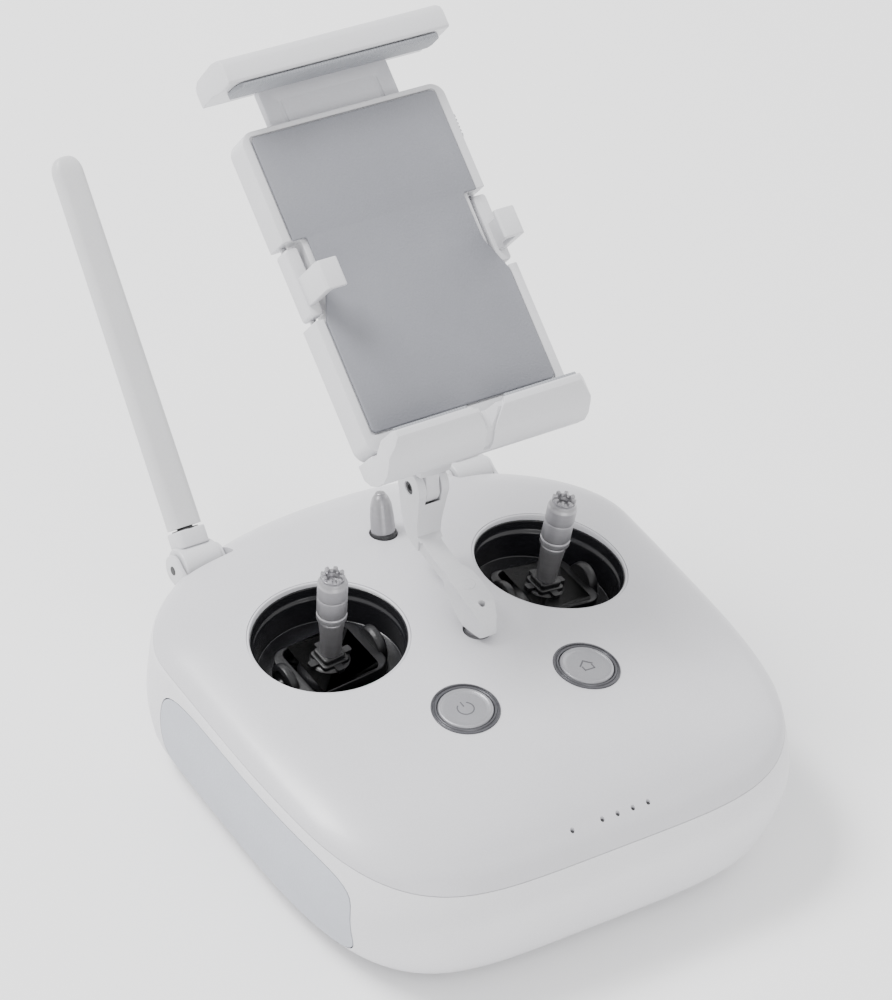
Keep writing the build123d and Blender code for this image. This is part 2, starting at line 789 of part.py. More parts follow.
for name, side in SIDES:
    plane = antenna_plane(side)
    fold = Plane(origin=plane.origin, x_dir=(0, 1, 0), z_dir=(1, 0, 0))
    with BuildPart() as base:
        with BuildSketch(fold):
            Circle(6.6)
        extrude(amount=6.6, both=True)
        with BuildSketch(plane.offset(2)):
            Rectangle(11.0, 9.0)
        extrude(amount=BLADE_ROOT - 2.4)
        with BuildSketch(plane.offset(BLADE_ROOT - 0.5)):
            Circle(2.6)
        extrude(amount=6.0)
        with BuildSketch(fold):
            Circle(ANTENNA_PIN_R + 0.05)
        extrude(amount=10, both=True, mode=Mode.SUBTRACT)
    save(base, f"{name}_antenna_base")
    with BuildPart() as blade:
        with BuildSketch(plane.offset(BLADE_ROOT)):
            RectangleRounded(2 * BLADE_HALF_W, BLADE_THICK + 1.0, 2.4)
        with BuildSketch(plane.offset(BLADE_TIP - 6)):
            RectangleRounded(2 * BLADE_HALF_W - 1.0, BLADE_THICK - 0.5, 2.2)
        loft()
        with BuildSketch(plane.offset(BLADE_TIP - 6)):
            RectangleRounded(2 * BLADE_HALF_W - 1.0, BLADE_THICK - 0.5, 2.2)
        extrude(amount=6, taper=25)
        with BuildSketch(plane.offset(BLADE_ROOT - 1)):
            Circle(2.65)
        extrude(amount=7.0, mode=Mode.SUBTRACT)
    save(blade, f"{name}_antenna")

with BuildPart() as antenna_mounts:
    for _, side in SIDES:
        with BuildSketch(Plane.XY.offset(36.0)):
            with Locations((side * ANTENNA_X, 72.4)):
                Rectangle(2 * EAR_OUTER, 1.2)
        extrude(amount=9.0)
        for inner in (side * ANTENNA_X - EAR_OUTER, side * ANTENNA_X + EAR_INNER):
            with BuildSketch(Plane.YZ.offset(inner)):
                with Locations((ANTENNA_Y - 3.9, ANTENNA_Z - 1.4)):
                    Rectangle(7.8, 7.0)
                with Locations((ANTENNA_Y, ANTENNA_Z)):
                    Circle(4.9)
                    Circle(ANTENNA_PIN_R, mode=Mode.SUBTRACT)
            extrude(amount=EAR_OUTER - EAR_INNER)
        with BuildSketch(Plane.YZ.offset(side * ANTENNA_X - 10)):
            with Locations((ANTENNA_Y, ANTENNA_Z)):
                Circle(ANTENNA_PIN_R)
        extrude(amount=20, mode=Mode.SUBTRACT)
save(antenna_mounts, "antenna_mounts")

with BuildPart() as antenna_pins:
    for _, side in SIDES:
        with BuildSketch(Plane.YZ.offset(side * ANTENNA_X - EAR_OUTER)):
            with Locations((ANTENNA_Y, ANTENNA_Z)):
                Circle(ANTENNA_PIN_R - 0.02)
        extrude(amount=2 * EAR_OUTER)
save(antenna_pins, "antenna_pins")
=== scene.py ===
import json
import math

import bmesh
import bpy
import numpy as np
from mathutils import Matrix, Vector


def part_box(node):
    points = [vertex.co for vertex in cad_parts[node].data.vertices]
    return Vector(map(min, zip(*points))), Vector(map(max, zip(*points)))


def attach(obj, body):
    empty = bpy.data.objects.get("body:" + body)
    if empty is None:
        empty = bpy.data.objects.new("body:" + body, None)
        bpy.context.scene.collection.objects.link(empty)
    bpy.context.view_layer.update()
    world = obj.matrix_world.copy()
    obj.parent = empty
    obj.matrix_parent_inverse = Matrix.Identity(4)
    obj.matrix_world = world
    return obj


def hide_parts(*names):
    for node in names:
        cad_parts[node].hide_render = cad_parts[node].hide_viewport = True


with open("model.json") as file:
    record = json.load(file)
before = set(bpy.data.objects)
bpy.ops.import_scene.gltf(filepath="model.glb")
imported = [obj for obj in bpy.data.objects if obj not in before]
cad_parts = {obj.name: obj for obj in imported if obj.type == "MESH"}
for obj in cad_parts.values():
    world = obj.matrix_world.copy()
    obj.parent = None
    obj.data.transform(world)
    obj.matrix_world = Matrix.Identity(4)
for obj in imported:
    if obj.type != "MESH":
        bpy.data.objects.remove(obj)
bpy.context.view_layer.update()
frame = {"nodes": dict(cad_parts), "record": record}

MM = 0.001

# ---------------------------------------------------------------------------
# Local frames.  A frame is (origin, x, y, z) in millimetres, in the CAD frame.
# ---------------------------------------------------------------------------


def unit(v):
    v = np.array(v, float)
    return v / np.linalg.norm(v)


def local(origin, x, z):
    z = unit(z)
    x = np.array(x, float)
    x = unit(x - z * (x @ z))
    return np.array(origin, float), x, np.cross(z, x), z


def at(pl, p):
    return pl[0] + pl[1] * p[0] + pl[2] * p[1] + pl[3] * p[2]


def shifted(pl, p):
    return at(pl, p), pl[1], pl[2], pl[3]


def joint(name):
    return next(j for j in frame["record"]["behaviour"]["joints"] if j["name"] == name)


WORLD = local((0, 0, 0), (1, 0, 0), (0, 0, 1))
SIDE_VIEW = local((0, 0, 0), (0, 1, 0), (1, 0, 0))          # x = Y, y = Z, z = X
clamp = next(m for m in frame["record"]["mounts"] if m["name"] == "device_clamp")
slide_dir = joint("holder_extend")["axis"]
HOLDER = local(
    np.array(clamp["pos_m"]) * 1000 - 48 * np.array(slide_dir), (1, 0, 0), clamp["axis"]
)
HOLDER_SIDE = (HOLDER[0], HOLDER[2], HOLDER[3], HOLDER[1])   # x = u, y = n, z = X


def well_frame(side):
    return local((side * 41, 19, 58), (1, 0, -side * 0.123), (side * 0.123, 0.045, 1))


def button_frame(side):
    return local((side * 22.15, -28.8, 60), (1, 0, -side * 0.068), (side * 0.068, 0, 1))


def stick_frame(side):
    pivot = at(well_frame(side), (0, 0, -13))
    return local(pivot, (1, 0, 0), (side * 0.078, 0.01, 1))


# ---------------------------------------------------------------------------
# Materials
# ---------------------------------------------------------------------------


def material(name, color, rough, metallic=0.0, coat=0.0, grain=900.0, grain_depth=0.05,
             mottle=0.03, brushed=False, ribs=0.0, scratch=0.0):
    """Moulded, rubbery or turned finish: fine grain, slow colour drift and uneven polish."""
    m = bpy.data.materials.new(name)
    m.use_nodes = True
    nt = m.node_tree
    b = nt.nodes["Principled BSDF"]
    b.inputs["Metallic"].default_value = metallic
    b.inputs["Coat Weight"].default_value = coat
    b.inputs["Coat Roughness"].default_value = 0.15
    tc = nt.nodes.new("ShaderNodeTexCoord")
    mp = nt.nodes.new("ShaderNodeMapping")
    nt.links.new(tc.outputs["Object"], mp.inputs["Vector"])
    if brushed:
        mp.inputs["Scale"].default_value = (1, 1, 14)
    drift = nt.nodes.new("ShaderNodeTexNoise")
    drift.inputs["Scale"].default_value = 55
    drift.inputs["Detail"].default_value = 4
    nt.links.new(mp.outputs[0], drift.inputs["Vector"])
    ramp = nt.nodes.new("ShaderNodeValToRGB")
    lo = [max(0.0, c * (1 - mottle)) for c in color]
    hi = [min(1.0, c * (1 + mottle)) for c in color]
    ramp.color_ramp.elements[0].position = 0.3
    ramp.color_ramp.elements[0].color = (*lo, 1)
    ramp.color_ramp.elements[1].position = 0.7
    ramp.color_ramp.elements[1].color = (*hi, 1)
    nt.links.new(drift.outputs["Fac"], ramp.inputs["Fac"])
    fine = nt.nodes.new("ShaderNodeTexNoise")
    fine.inputs["Scale"].default_value = grain
    fine.inputs["Detail"].default_value = 3
    nt.links.new(mp.outputs[0], fine.inputs["Vector"])
    speck = nt.nodes.new("ShaderNodeMixRGB")
    speck.blend_type = "MULTIPLY"
    speck.inputs["Fac"].default_value = 0.10 if not metallic else 0.16
    nt.links.new(ramp.outputs["Color"], speck.inputs["Color1"])
    nt.links.new(fine.outputs["Fac"], speck.inputs["Color2"])
    nt.links.new(speck.outputs["Color"], b.inputs["Base Color"])
    polish = nt.nodes.new("ShaderNodeMapRange")
    polish.inputs["To Min"].default_value = max(0.03, rough - 0.07)
    polish.inputs["To Max"].default_value = min(1.0, rough + 0.07)
    smear = nt.nodes.new("ShaderNodeTexNoise")
    smear.inputs["Scale"].default_value = 130
    smear.inputs["Detail"].default_value = 5
    nt.links.new(mp.outputs[0], smear.inputs["Vector"])
    nt.links.new(smear.outputs["Fac"], polish.inputs["Value"])
    nt.links.new(polish.outputs[0], b.inputs["Roughness"])
    bump = nt.nodes.new("ShaderNodeBump")
    bump.inputs["Strength"].default_value = grain_depth
    bump.inputs["Distance"].default_value = 0.0004
    nt.links.new(fine.outputs["Fac"], bump.inputs["Height"])
    last = bump
    if ribs:
        wave = nt.nodes.new("ShaderNodeTexWave")
        wave.inputs["Scale"].default_value = ribs
        wave.inputs["Distortion"].default_value = 0
        nt.links.new(tc.outputs["Object"], wave.inputs["Vector"])
        second = nt.nodes.new("ShaderNodeBump")
        second.inputs["Strength"].default_value = 0.4
        second.inputs["Distance"].default_value = 0.0006
        nt.links.new(wave.outputs["Fac"], second.inputs["Height"])
        nt.links.new(bump.outputs[0], second.inputs["Normal"])
        last = second
    if scratch:
        scuff = nt.nodes.new("ShaderNodeTexNoise")
        scuff.inputs["Scale"].default_value = 260
        scuff.inputs["Detail"].default_value = 8
        scuff.inputs["Roughness"].default_value = 0.8
        nt.links.new(mp.outputs[0], scuff.inputs["Vector"])
        third = nt.nodes.new("ShaderNodeBump")
        third.inputs["Strength"].default_value = scratch
        third.inputs["Distance"].default_value = 0.0003
        nt.links.new(scuff.outputs["Fac"], third.inputs["Height"])
        nt.links.new(last.outputs[0], third.inputs["Normal"])
        last = third
    nt.links.new(last.outputs[0], b.inputs["Normal"])
    return m


MAT = {
    "shell_white": material("shell_white", (0.60, 0.597, 0.625), 0.36, grain=1500, grain_depth=0.05,
                            mottle=0.012, coat=0.15),
    # Same white plastic as shell_white, given a lighter colour: painted light for the front fill on the
    # lower walls.
    "lower_white": material("lower_white", (0.74, 0.736, 0.76), 0.44, grain=1500, grain_depth=0.07,
                            mottle=0.012),
    "grip_grey": material("grip_grey", (0.50, 0.52, 0.57), 0.62, grain=1300, grain_depth=0.35,
                          mottle=0.03),
    "well_black": material("well_black", (0.010, 0.010, 0.012), 0.24, grain=1200, grain_depth=0.08,
                           mottle=0.2),
    "silver_metal": material("silver_metal", (0.36, 0.355, 0.37), 0.34, metallic=0.8, grain=1600,
                             grain_depth=0.10,
                             mottle=0.05, brushed=True, scratch=0.06),
    "boot_black": material("boot_black", (0.005, 0.005, 0.006), 0.42, grain=1400, grain_depth=0.25,
                           mottle=0.2),
    "holder_white": material("holder_white", (0.62, 0.62, 0.64), 0.34, grain=1500, grain_depth=0.05,
                             mottle=0.012, coat=0.1),
    "pad_grey": material("pad_grey", (0.22, 0.224, 0.248), 0.55, grain=1700, grain_depth=0.28,
                         mottle=0.03),
    "slide_grey": material("slide_grey", (0.60, 0.60, 0.63), 0.40, grain=1500, grain_depth=0.06,
                           mottle=0.02),
    "strip_dark": material("strip_dark", (0.12, 0.12, 0.135), 0.62, grain=1300, grain_depth=0.3,
                           mottle=0.06),
    "rubber_pale": material("rubber_pale", (0.30, 0.31, 0.335), 0.6, grain=1300, grain_depth=0.3,
                            mottle=0.04, ribs=320),
    "light_grey": material("light_grey", (0.43, 0.44, 0.465), 0.40, grain=1500, grain_depth=0.08,
                           mottle=0.02),
    "button_silver": material("button_silver", (0.33, 0.33, 0.35), 0.38, metallic=0.55, grain=2200,
                              grain_depth=0.2,
                              mottle=0.04, scratch=0.05),
    "ring_dark": material("ring_dark", (0.10, 0.10, 0.11), 0.3, metallic=0.5, grain=1500,
                          grain_depth=0.06, mottle=0.08),
    "light_window": material("light_window", (0.01, 0.01, 0.012), 0.12, grain=900, grain_depth=0.02,
                             mottle=0.2, coat=0.6),
    "antenna_grey": material("antenna_grey", (0.58, 0.58, 0.59), 0.40, grain=1400, grain_depth=0.10,
                             mottle=0.015),
    "port_metal": material("port_metal", (0.55, 0.55, 0.57), 0.30, metallic=1.0, grain=1800,
                           grain_depth=0.08, mottle=0.05),
    "panel_black": material("panel_black", (0.02, 0.02, 0.022), 0.48, grain=1500, grain_depth=0.25,
                            mottle=0.15),
    "board_green": material("board_green", (0.03, 0.16, 0.07), 0.4, grain=500, grain_depth=0.2,
                            mottle=0.25),
    "cell_blue": material("cell_blue", (0.07, 0.10, 0.2), 0.35, grain=700, grain_depth=0.05, mottle=0.1),
    "screw_steel": material("screw_steel", (0.5, 0.5, 0.52), 0.32, metallic=1.0, grain=1700,
                            grain_depth=0.12, mottle=0.06),
    "symbol_dark": material("symbol_dark", (0.09, 0.09, 0.10), 0.5, grain=1500, grain_depth=0.1,
                            mottle=0.1),
}
SLOTS = {s["node"]: s["material_slot"] for s in frame["record"]["subparts"]}
for node, obj in frame["nodes"].items():
    obj.data.materials.clear()
    obj.data.materials.append(MAT[SLOTS[node]])
    for poly in obj.data.polygons:
        poly.material_index = 0

# ---------------------------------------------------------------------------
# Mesh helpers
# ---------------------------------------------------------------------------

BODY_OF = {n: b for b, ns in frame["record"]["behaviour"]["bodies"].items() for n in ns}
SLOT_NAMES = {s["slot"] for s in frame["record"]["materials"]}


def raw(name, verts, faces):
    """A mesh object from millimetre points, with outward faces."""
    me = bpy.data.meshes.new(name)
    me.from_pydata([tuple(float(c) * MM for c in v) for v in verts], [], faces)
    me.validate()
    bm = bmesh.new()
    bm.from_mesh(me)
    bmesh.ops.remove_doubles(bm, verts=bm.verts, dist=1e-7)
    bmesh.ops.recalc_face_normals(bm, faces=bm.faces)
    bm.to_mesh(me)
    bm.free()
    ob = bpy.data.objects.new(name, me)
    bpy.context.scene.collection.objects.link(ob)
    return ob


def bake(ob):
    """Applies the modifiers."""
    dg = bpy.context.evaluated_depsgraph_get()
    me = bpy.data.meshes.new_from_object(ob.evaluated_get(dg))
    ob.modifiers.clear()
    ob.data = me
    return ob


def boolean(ob, tools, operation="DIFFERENCE"):
    for tool in tools:
        mod = ob.modifiers.new("b", "BOOLEAN")
        mod.operation = operation
        mod.solver = "EXACT"
        mod.object = tool
        bake(ob)
        bpy.data.objects.remove(tool)
    return ob


def bevel(ob, width, segments=3, angle=32):
    mod = ob.modifiers.new("bevel", "BEVEL")
    mod.width = width * MM
    mod.segments = segments
    mod.limit_method = "ANGLE"
    mod.angle_limit = math.radians(angle)
    mod.use_clamp_overlap = True
    return bake(ob)


def join(name, obs):
    bm = bmesh.new()
    for o in obs:
        bm.from_mesh(o.data)
    me = bpy.data.meshes.new(name)
    bm.to_mesh(me)
    bm.free()
    for o in obs:
        bpy.data.objects.remove(o)
    ob = bpy.data.objects.new(name, me)
    bpy.context.scene.collection.objects.link(ob)
    return ob


def place(ob, mat, body, nodes=(), sharp=34, slot=None):
    """Smooths, paints, and mounts a piece on its CAD body."""
    ob.data.materials.clear()
    ob.data.materials.append(MAT[mat])
    for p in ob.data.polygons:
        p.use_smooth = True
        p.material_index = 0
    ob.data.set_sharp_from_angle(angle=math.radians(sharp))
    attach(ob, body)
    if nodes:
        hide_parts(*nodes)
    slot = slot or (mat if mat in SLOT_NAMES else None)
    return ob


def prism(name, pts, pl, lo, hi):
    """A straight prism of a flat outline between two heights of a local frame."""
    n = len(pts)
    verts = [at(pl, (x, y, lo)) for x, y in pts] + [at(pl, (x, y, hi)) for x, y in pts]
    faces = [tuple(range(n)), tuple(range(n, 2 * n))]
    faces += [(i, (i + 1) % n, n + (i + 1) % n, n + i) for i in range(n)]
    return raw(name, verts, faces)


def rounded(cx, cy, w, h, r, k=6):
    pts = []
    for sx, sy, a0 in ((1, 1, 0), (-1, 1, 90), (-1, -1, 180), (1, -1, 270)):
        for i in range(k + 1):
            a = math.radians(a0 + 90 * i / k)
            pts.append((cx + sx * (w / 2 - r) + r * math.cos(a), cy + sy * (h / 2 - r) + r * math.sin(a)))
    return pts


def circle(cx, cy, r, k=48):
    turns = [2 * math.pi * i / k for i in range(k)]
    return [(cx + r * math.cos(a), cy + r * math.sin(a)) for a in turns]


def fan(cx, cy, r, start, end, k):
    """Points along an arc, from one angle in degrees to another."""
    return [(cx + r * math.cos(t), cy + r * math.sin(t)) for t in np.radians(np.linspace(start, end, k))]


def box(name, pl, cx, cy, w, h, lo, hi, r=0.6):
    return prism(name, rounded(cx, cy, w, h, r, 4), pl, lo, hi)


def lathe(name, pl, profile, k=72, wobble=None):
    """Turns a (radius, height) profile about a frame's z.  wobble(angle, r, h) may change a point."""
    verts, rows = [], []
    for r, h in profile:
        if r < 1e-6:
            rows.append([len(verts)] * k)
            verts.append(at(pl, (0, 0, h)))
            continue
        row = []
        for i in range(k):
            a = 2 * math.pi * i / k
            rr, hh = wobble(a, r, h) if wobble else (r, h)
            row.append(len(verts))
            verts.append(at(pl, (rr * math.cos(a), rr * math.sin(a), hh)))
        rows.append(row)
    faces = []
    closed = profile[0] == profile[-1]
    for a, b in zip(rows[:-1], rows[1:]):
        for i in range(k):
            j = (i + 1) % k
            f = [a[i], a[j], b[j], b[i]]
            f = [v for n, v in enumerate(f) if v not in f[:n]]
            if len(f) > 2:
                faces.append(tuple(f))
    if not closed:
        for row in (rows[0], rows[-1]):
            if len(set(row)) > 2:
                faces.append(tuple(row))
    return raw(name, verts, faces)


def soften(profile, r=0.25, k=4):
    """Rounds the corners of an open (radius, height) profile."""
    out = [profile[0]]
    for a, b, c in zip(profile[:-2], profile[1:-1], profile[2:]):
        a, b, c = np.array(a, float), np.array(b, float), np.array(c, float)
        la, lc = np.linalg.norm(a - b), np.linalg.norm(c - b)
        d = min(r, la * 0.45, lc * 0.45)
        if d < 1e-3:
            out.append(tuple(b))
            continue
        p, q = b + (a - b) / la * d, b + (c - b) / lc * d
        for i in range(k + 1):
            t = i / k
            out.append(tuple((1 - t) ** 2 * p + 2 * t * (1 - t) * b + t * t * q))
    out.append(profile[-1])
    return out


# ---------------------------------------------------------------------------
# The body's surface
# ---------------------------------------------------------------------------

LEVELS = np.array([
    (0.0, 70.5, 70.0, -71.0, 32.0, 2.2, 4.6),
    (3.0, 78.0, 77.5, -78.5, 32.5, 2.2, 4.6),
    (12.0, 84.0, 83.7, -84.4, 32.7, 2.2, 4.6),
    (30.0, 87.2, 87.1, -86.8, 32.7, 2.2, 4.6),
    (44.0, 87.0, 86.8, -80.3, 32.7, 2.2, 4.5),
    (48.0, 84.0, 83.5, -76.0, 32.0, 2.2, 4.3),
    (51.0, 78.5, 78.5, -72.0, 30.0, 2.2, 4.0),
    (53.5, 70.5, 73.0, -67.5, 26.0, 2.2, 3.6),
    (55.5, 61.5, 66.5, -63.0, 20.0, 2.2, 3.2),
    (57.2, 51.5, 58.0, -58.5, 12.0, 2.1, 2.8),
    (58.6, 40.5, 48.5, -53.0, 5.0, 2.1, 2.5),
    (59.8, 28.0, 34.5, -43.0, -2.0, 2.0, 2.2),
    (60.5, 12.0, 14.0, -24.0, -5.0, 2.0, 2.0),
    (60.6, 1.0, -4.0, -6.0, -5.0, 2.0, 2.0),
])


def hermite(knots, values, x):
    """Monotone cubic through the knots, so that no level bulges past its neighbours."""
    h = np.diff(knots)
    d = np.diff(values, axis=0) / h[:, None]
    m = np.zeros_like(values)
    m[0], m[-1] = d[0], d[-1]
    for i in range(1, len(knots) - 1):
        same = d[i - 1] * d[i] > 0
        w1, w2 = 2 * h[i] + h[i - 1], h[i] + 2 * h[i - 1]
        with np.errstate(divide="ignore", invalid="ignore"):
            mean = (w1 + w2) / (w1 / d[i - 1] + w2 / d[i])
        m[i] = np.where(same, mean, 0)
    i = np.clip(np.searchsorted(knots, x, side="right") - 1, 0, len(knots) - 2)
    t = ((x - knots[i]) / h[i])[:, None]
    hi = h[i][:, None]
    return ((1 + 2 * t) * (1 - t) ** 2 * values[i] + t * (1 - t) ** 2 * hi * m[i]
            + t * t * (3 - 2 * t) * values[i + 1] + t * t * (t - 1) * hi * m[i + 1])


KNOTS = np.concatenate([[0], np.cumsum(np.hypot(np.diff(LEVELS[:, 0]), np.diff(LEVELS[:, 1])))])


def ring_points(level, n, inset=0.0):
    z, half, rear, front, mid, er, ef = level
    cut = min(inset, 0.3 * half)
    half, rear, front = half - cut, rear - cut, front + cut
    a = 2 * np.pi * np.arange(n) / n
    c, s = np.cos(a), np.sin(a)
    w = 0.5 + 0.5 * np.tanh(s * 6)
    power = ef + (er - ef) * w
    depth = np.where(s >= 0, rear - mid, mid - front)
    r = (np.abs(c / half) ** power + np.abs(s / depth) ** power) ** (-1 / power)
    return np.c_[r * c, mid + r * s, np.full(n, z)]


def body_solid(name, inset=0.0, floor=0.0, roof=60.6, n=288, steps=150):
    s = np.linspace(0, KNOTS[-1], steps)
    levels = hermite(KNOTS, LEVELS, s)
    verts = []
    for lv in levels:
        lv = lv.copy()
        p = ring_points(lv, n, inset)
        p[:, 2] = floor + lv[0] * (roof - floor) / 60.6
        verts.append(p)
    verts = np.concatenate(verts)
    faces = [tuple(range(n)), tuple(range((steps - 1) * n, steps * n))]
    for k in range(steps - 1):
        a, b = k * n, (k + 1) * n
        faces += [(a + i, a + (i + 1) % n, b + (i + 1) % n, b + i) for i in range(n)]
    return raw(name, verts, faces)


FINE = hermite(KNOTS, LEVELS, np.linspace(0, KNOTS[-1], 900))


def surface_z(x, y):
    """Height of the body's upper surface over a point."""
    for lv in FINE[::-1]:
        z, half, rear, front, mid, er, ef = lv
        s = y - mid
        depth = rear - mid if s >= 0 else mid - front
        power = er if s >= 0 else ef
        if abs(x / half) ** power + abs(s / depth) ** power <= 1:
            return z
    return 0.0


def seam_z(y, side_z=45.5, front_z=38.0, bend=-20.0, front=-92.0):
    if y >= bend:
        return side_z
    drop, run = side_z - front_z, bend - front
    r = (run * run + drop * drop) / (2 * drop)
    return side_z - r + math.sqrt(max(0.0, r * r - (min(bend - y, run)) ** 2))


def seam_block(name, above, gap):
    ys = [130, 60, 20, -20] + [-20 - 72 * i / 24 for i in range(1, 25)] + [-130]
    line = [(y, seam_z(y) + gap) for y in ys]
    far = 90 if above else -20
    return prism(name, line + [(-130, far), (130, far)], SIDE_VIEW, -130, 130)


def drill(pl, cx, cy, r, lo, hi, k=64):
    return prism("tool", circle(cx, cy, r, k), pl, lo, hi)


SIDES = (("left", -1), ("right", 1))
DIALS = ("left_dial", "right_dial")
REAR_BUTTONS = ("record_button", "shutter_button", "playback_button")
REAR = local((0, 53.4, 59.6), (1, 0, 0), (0, 0.35, 1))
FRONT = local((0, -1.0, 59.6), (1, 0, 0), (0, 0, 1))
LIGHT_Y = -76.8
LIGHTS = [-13.76] + [-2.92 + 5.56 * i for i in range(4)]

ANTENNA_X, ANTENNA_Y, ANTENNA_Z = 51, 80, 43
SCREWS = [(x, y) for x in (-48, 48) for y in (-46, 46)]
FEET = [(x, y) for x in (-40, 40) for y in (-55, 55)]
CUSTOM_X, CUSTOM_Y = 58, -8

# ---------------------------------------------------------------------------
# Shells
# ---------------------------------------------------------------------------

top = body_solid("top_cover")
boolean(top, [seam_block("tool", True, 0.13)], "INTERSECT")
tools = [body_solid("tool", 2.4, 2.4, 58.4, n=144, steps=70)]
for name, side in SIDES:
    tools.append(drill(well_frame(side), 0, 0, 25.2, -14, 12, 128))
    tools.append(drill(button_frame(side), 0, 0, 10.6, -10, 10, 96))
    tools.append(box("tool", WORLD, side * ANTENNA_X, 86, 17.8, 27, 40, 60, 1.2))
tools += [drill(WORLD, x, LIGHT_Y, 0.72, 30, 70, 24) for x in LIGHTS]
tools += [drill(REAR, 0, 0, 4.55, -9, 9, 48), drill(FRONT, 0, 0, 4.55, -9, 9, 48)]
boolean(top, tools)
place(top, "shell_white", "body", ["top_shell"], 40)

low = body_solid("lower_case")
boolean(low, [seam_block("tool", False, -0.13)], "INTERSECT")


def grip_outline(grow):
    """Rounded panel on the side wall, its top edge following the seam."""
    pts = []
    for i in range(96):
        a = 2 * math.pi * i / 96
        c, s = math.cos(a), math.sin(a)
        r = (abs(c) ** 5 + abs(s) ** 5) ** (-1 / 5)
        y = -12 + (49.5 + grow) * r * c
        z0 = 23.5 + (18.0 + grow) * r * s
        pts.append((y, z0 - max(0, s) * max(0.0, 45.5 - seam_z(y))))
    return pts


def grip_block(side, grow, inner=58):
    pl = local((side * inner, 0, 0), (0, 1, 0), (1, 0, 0))
    lo, hi = (0, 45) if side > 0 else (-45, 0)
    return prism("tool", grip_outline(grow), pl, lo, hi)


tools = [body_solid("tool", 3.4, 2.6, 58.4, n=144, steps=70)]
tools += [grip_block(-1, 0.25), grip_block(1, 0.25)]
for name, side in SIDES:
    tools.append(box("tool", WORLD, side * ANTENNA_X, 86, 17.8, 28.4, 35.8, 70, 1.2))
    tools.append(drill(WORLD, side * CUSTOM_X, CUSTOM_Y, 4.35, -2, 6, 48))
tools += [drill(WORLD, x, y, 3.2, -2, 1.9, 32) for x, y in SCREWS]
tools += [drill(WORLD, x, y, 6.1, -2, 1.0, 48) for x, y in FEET]
rear_wall = local((0, 92, 24), (-1, 0, 0), (0, 1, 0))
tools.append(prism("tool", rounded(0, 0, 46, 16, 3.0), rear_wall, -20, 4))


WALL_HALF, WALL_MID, WALL_DEPTH = 87.2, 32.7, 54.4   # plan of the side wall behind the middle


def wall_of(node):
    """Frame on the side wall at a rear control: z points out of the wall."""
    lo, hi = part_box(node)
    mid = np.array((lo + hi) / 2) / MM
    if node in DIALS:
        j = joint(node + "_turn")
        mid = np.array(j["pos_m"]) * 1000
        out = unit((mid[0] / WALL_HALF ** 2, (mid[1] - WALL_MID) / WALL_DEPTH ** 2, 0))
        return local(mid + out * 6.2, np.cross((0, 0, 1), out), out)
    if node == "mode_switch":
        along = np.array(joint("mode_switch_slide")["axis"])
        out = unit(np.cross(along, (0, 0, 1)))
        if out @ np.array((mid[0], mid[1] - WALL_MID, 0)) < 0:
            out = -out
        return local(mid + out * 3.95, np.cross((0, 0, 1), out), out)
    out = -unit(joint(node + "_press")["axis"])
    return local(mid + out * 1.85, np.cross((0, 0, 1), out), out)


for node in DIALS:
    tools.append(prism("tool", rounded(0, 0, 18.8, 6.8, 1.2), wall_of(node), -9, 4))
for node in REAR_BUTTONS:
    tools.append(drill(wall_of(node), 0, 0, 4.35, -9, 4, 48))
tools.append(prism("tool", rounded(0, 0, 13.0, 5.0, 2.0), wall_of("mode_switch"), -9, 4))
boolean(low, tools)
# The lower shell uses the lighter copy of the white: painted light. The plastic is the same as the top
# shell's.
place(low, "lower_white", "body", ["bottom_shell"], 40, "shell_white")

for name, side in SIDES:
    grip = body_solid(name + "_side_grip")
    boolean(grip, [grip_block(side, -0.1)], "INTERSECT")
    boolean(grip, [body_solid("tool", 3.4, 2.6, 58.4, n=144, steps=70)])
    place(grip, "grip_grey", "body", [name + "_grip"], 50)

liner = body_solid("seam_liner", 1.1, 1.0, 59.5, n=144, steps=90)
boolean(liner, [seam_block("tool", True, -0.9), seam_block("tool", False, 0.9)], "INTERSECT")
boolean(liner, [body_solid("tool", 2.2, 1.8, 58.6, n=144, steps=70)])
for name, side in SIDES:
    boolean(liner, [box("tool", WORLD, side * ANTENNA_X, 86, 18.2, 29.4, 30, 70, 1.2)])
place(liner, "strip_dark", "body", (), 40)

# ---------------------------------------------------------------------------
# Stick wells, gimbals, sticks
# ---------------------------------------------------------------------------


def well_lip(name, side):
    """Soft white lip that carries the shell's surface down into the well."""
    pl = well_frame(side)
    k = 160
    section = [(25.2, -2.6), (25.16, -0.62), (24.98, -0.28), (24.62, -0.22), (24.35, -0.5), (24.28, -2.6)]
    verts, rows = [], []
    for i in range(k):
        a = 2 * math.pi * i / k
        edge = at(pl, (25.2 * math.cos(a), 25.2 * math.sin(a), 0))
        z = surface_z(edge[0], edge[1])
        h = (z - edge[2]) / pl[3][2]
        row = []
        for r, d in section:
            row.append(len(verts))
            verts.append(at(pl, (r * math.cos(a), r * math.sin(a), h + d + 0.18)))
        rows.append(row)
    faces = []
    m = len(section)
    for i in range(k):
        a, b = rows[i], rows[(i + 1) % k]
        for j in range(m):
            q = (j + 1) % m
            faces.append((a[j], b[j], b[q], a[q]))
    return raw(name, verts, faces)


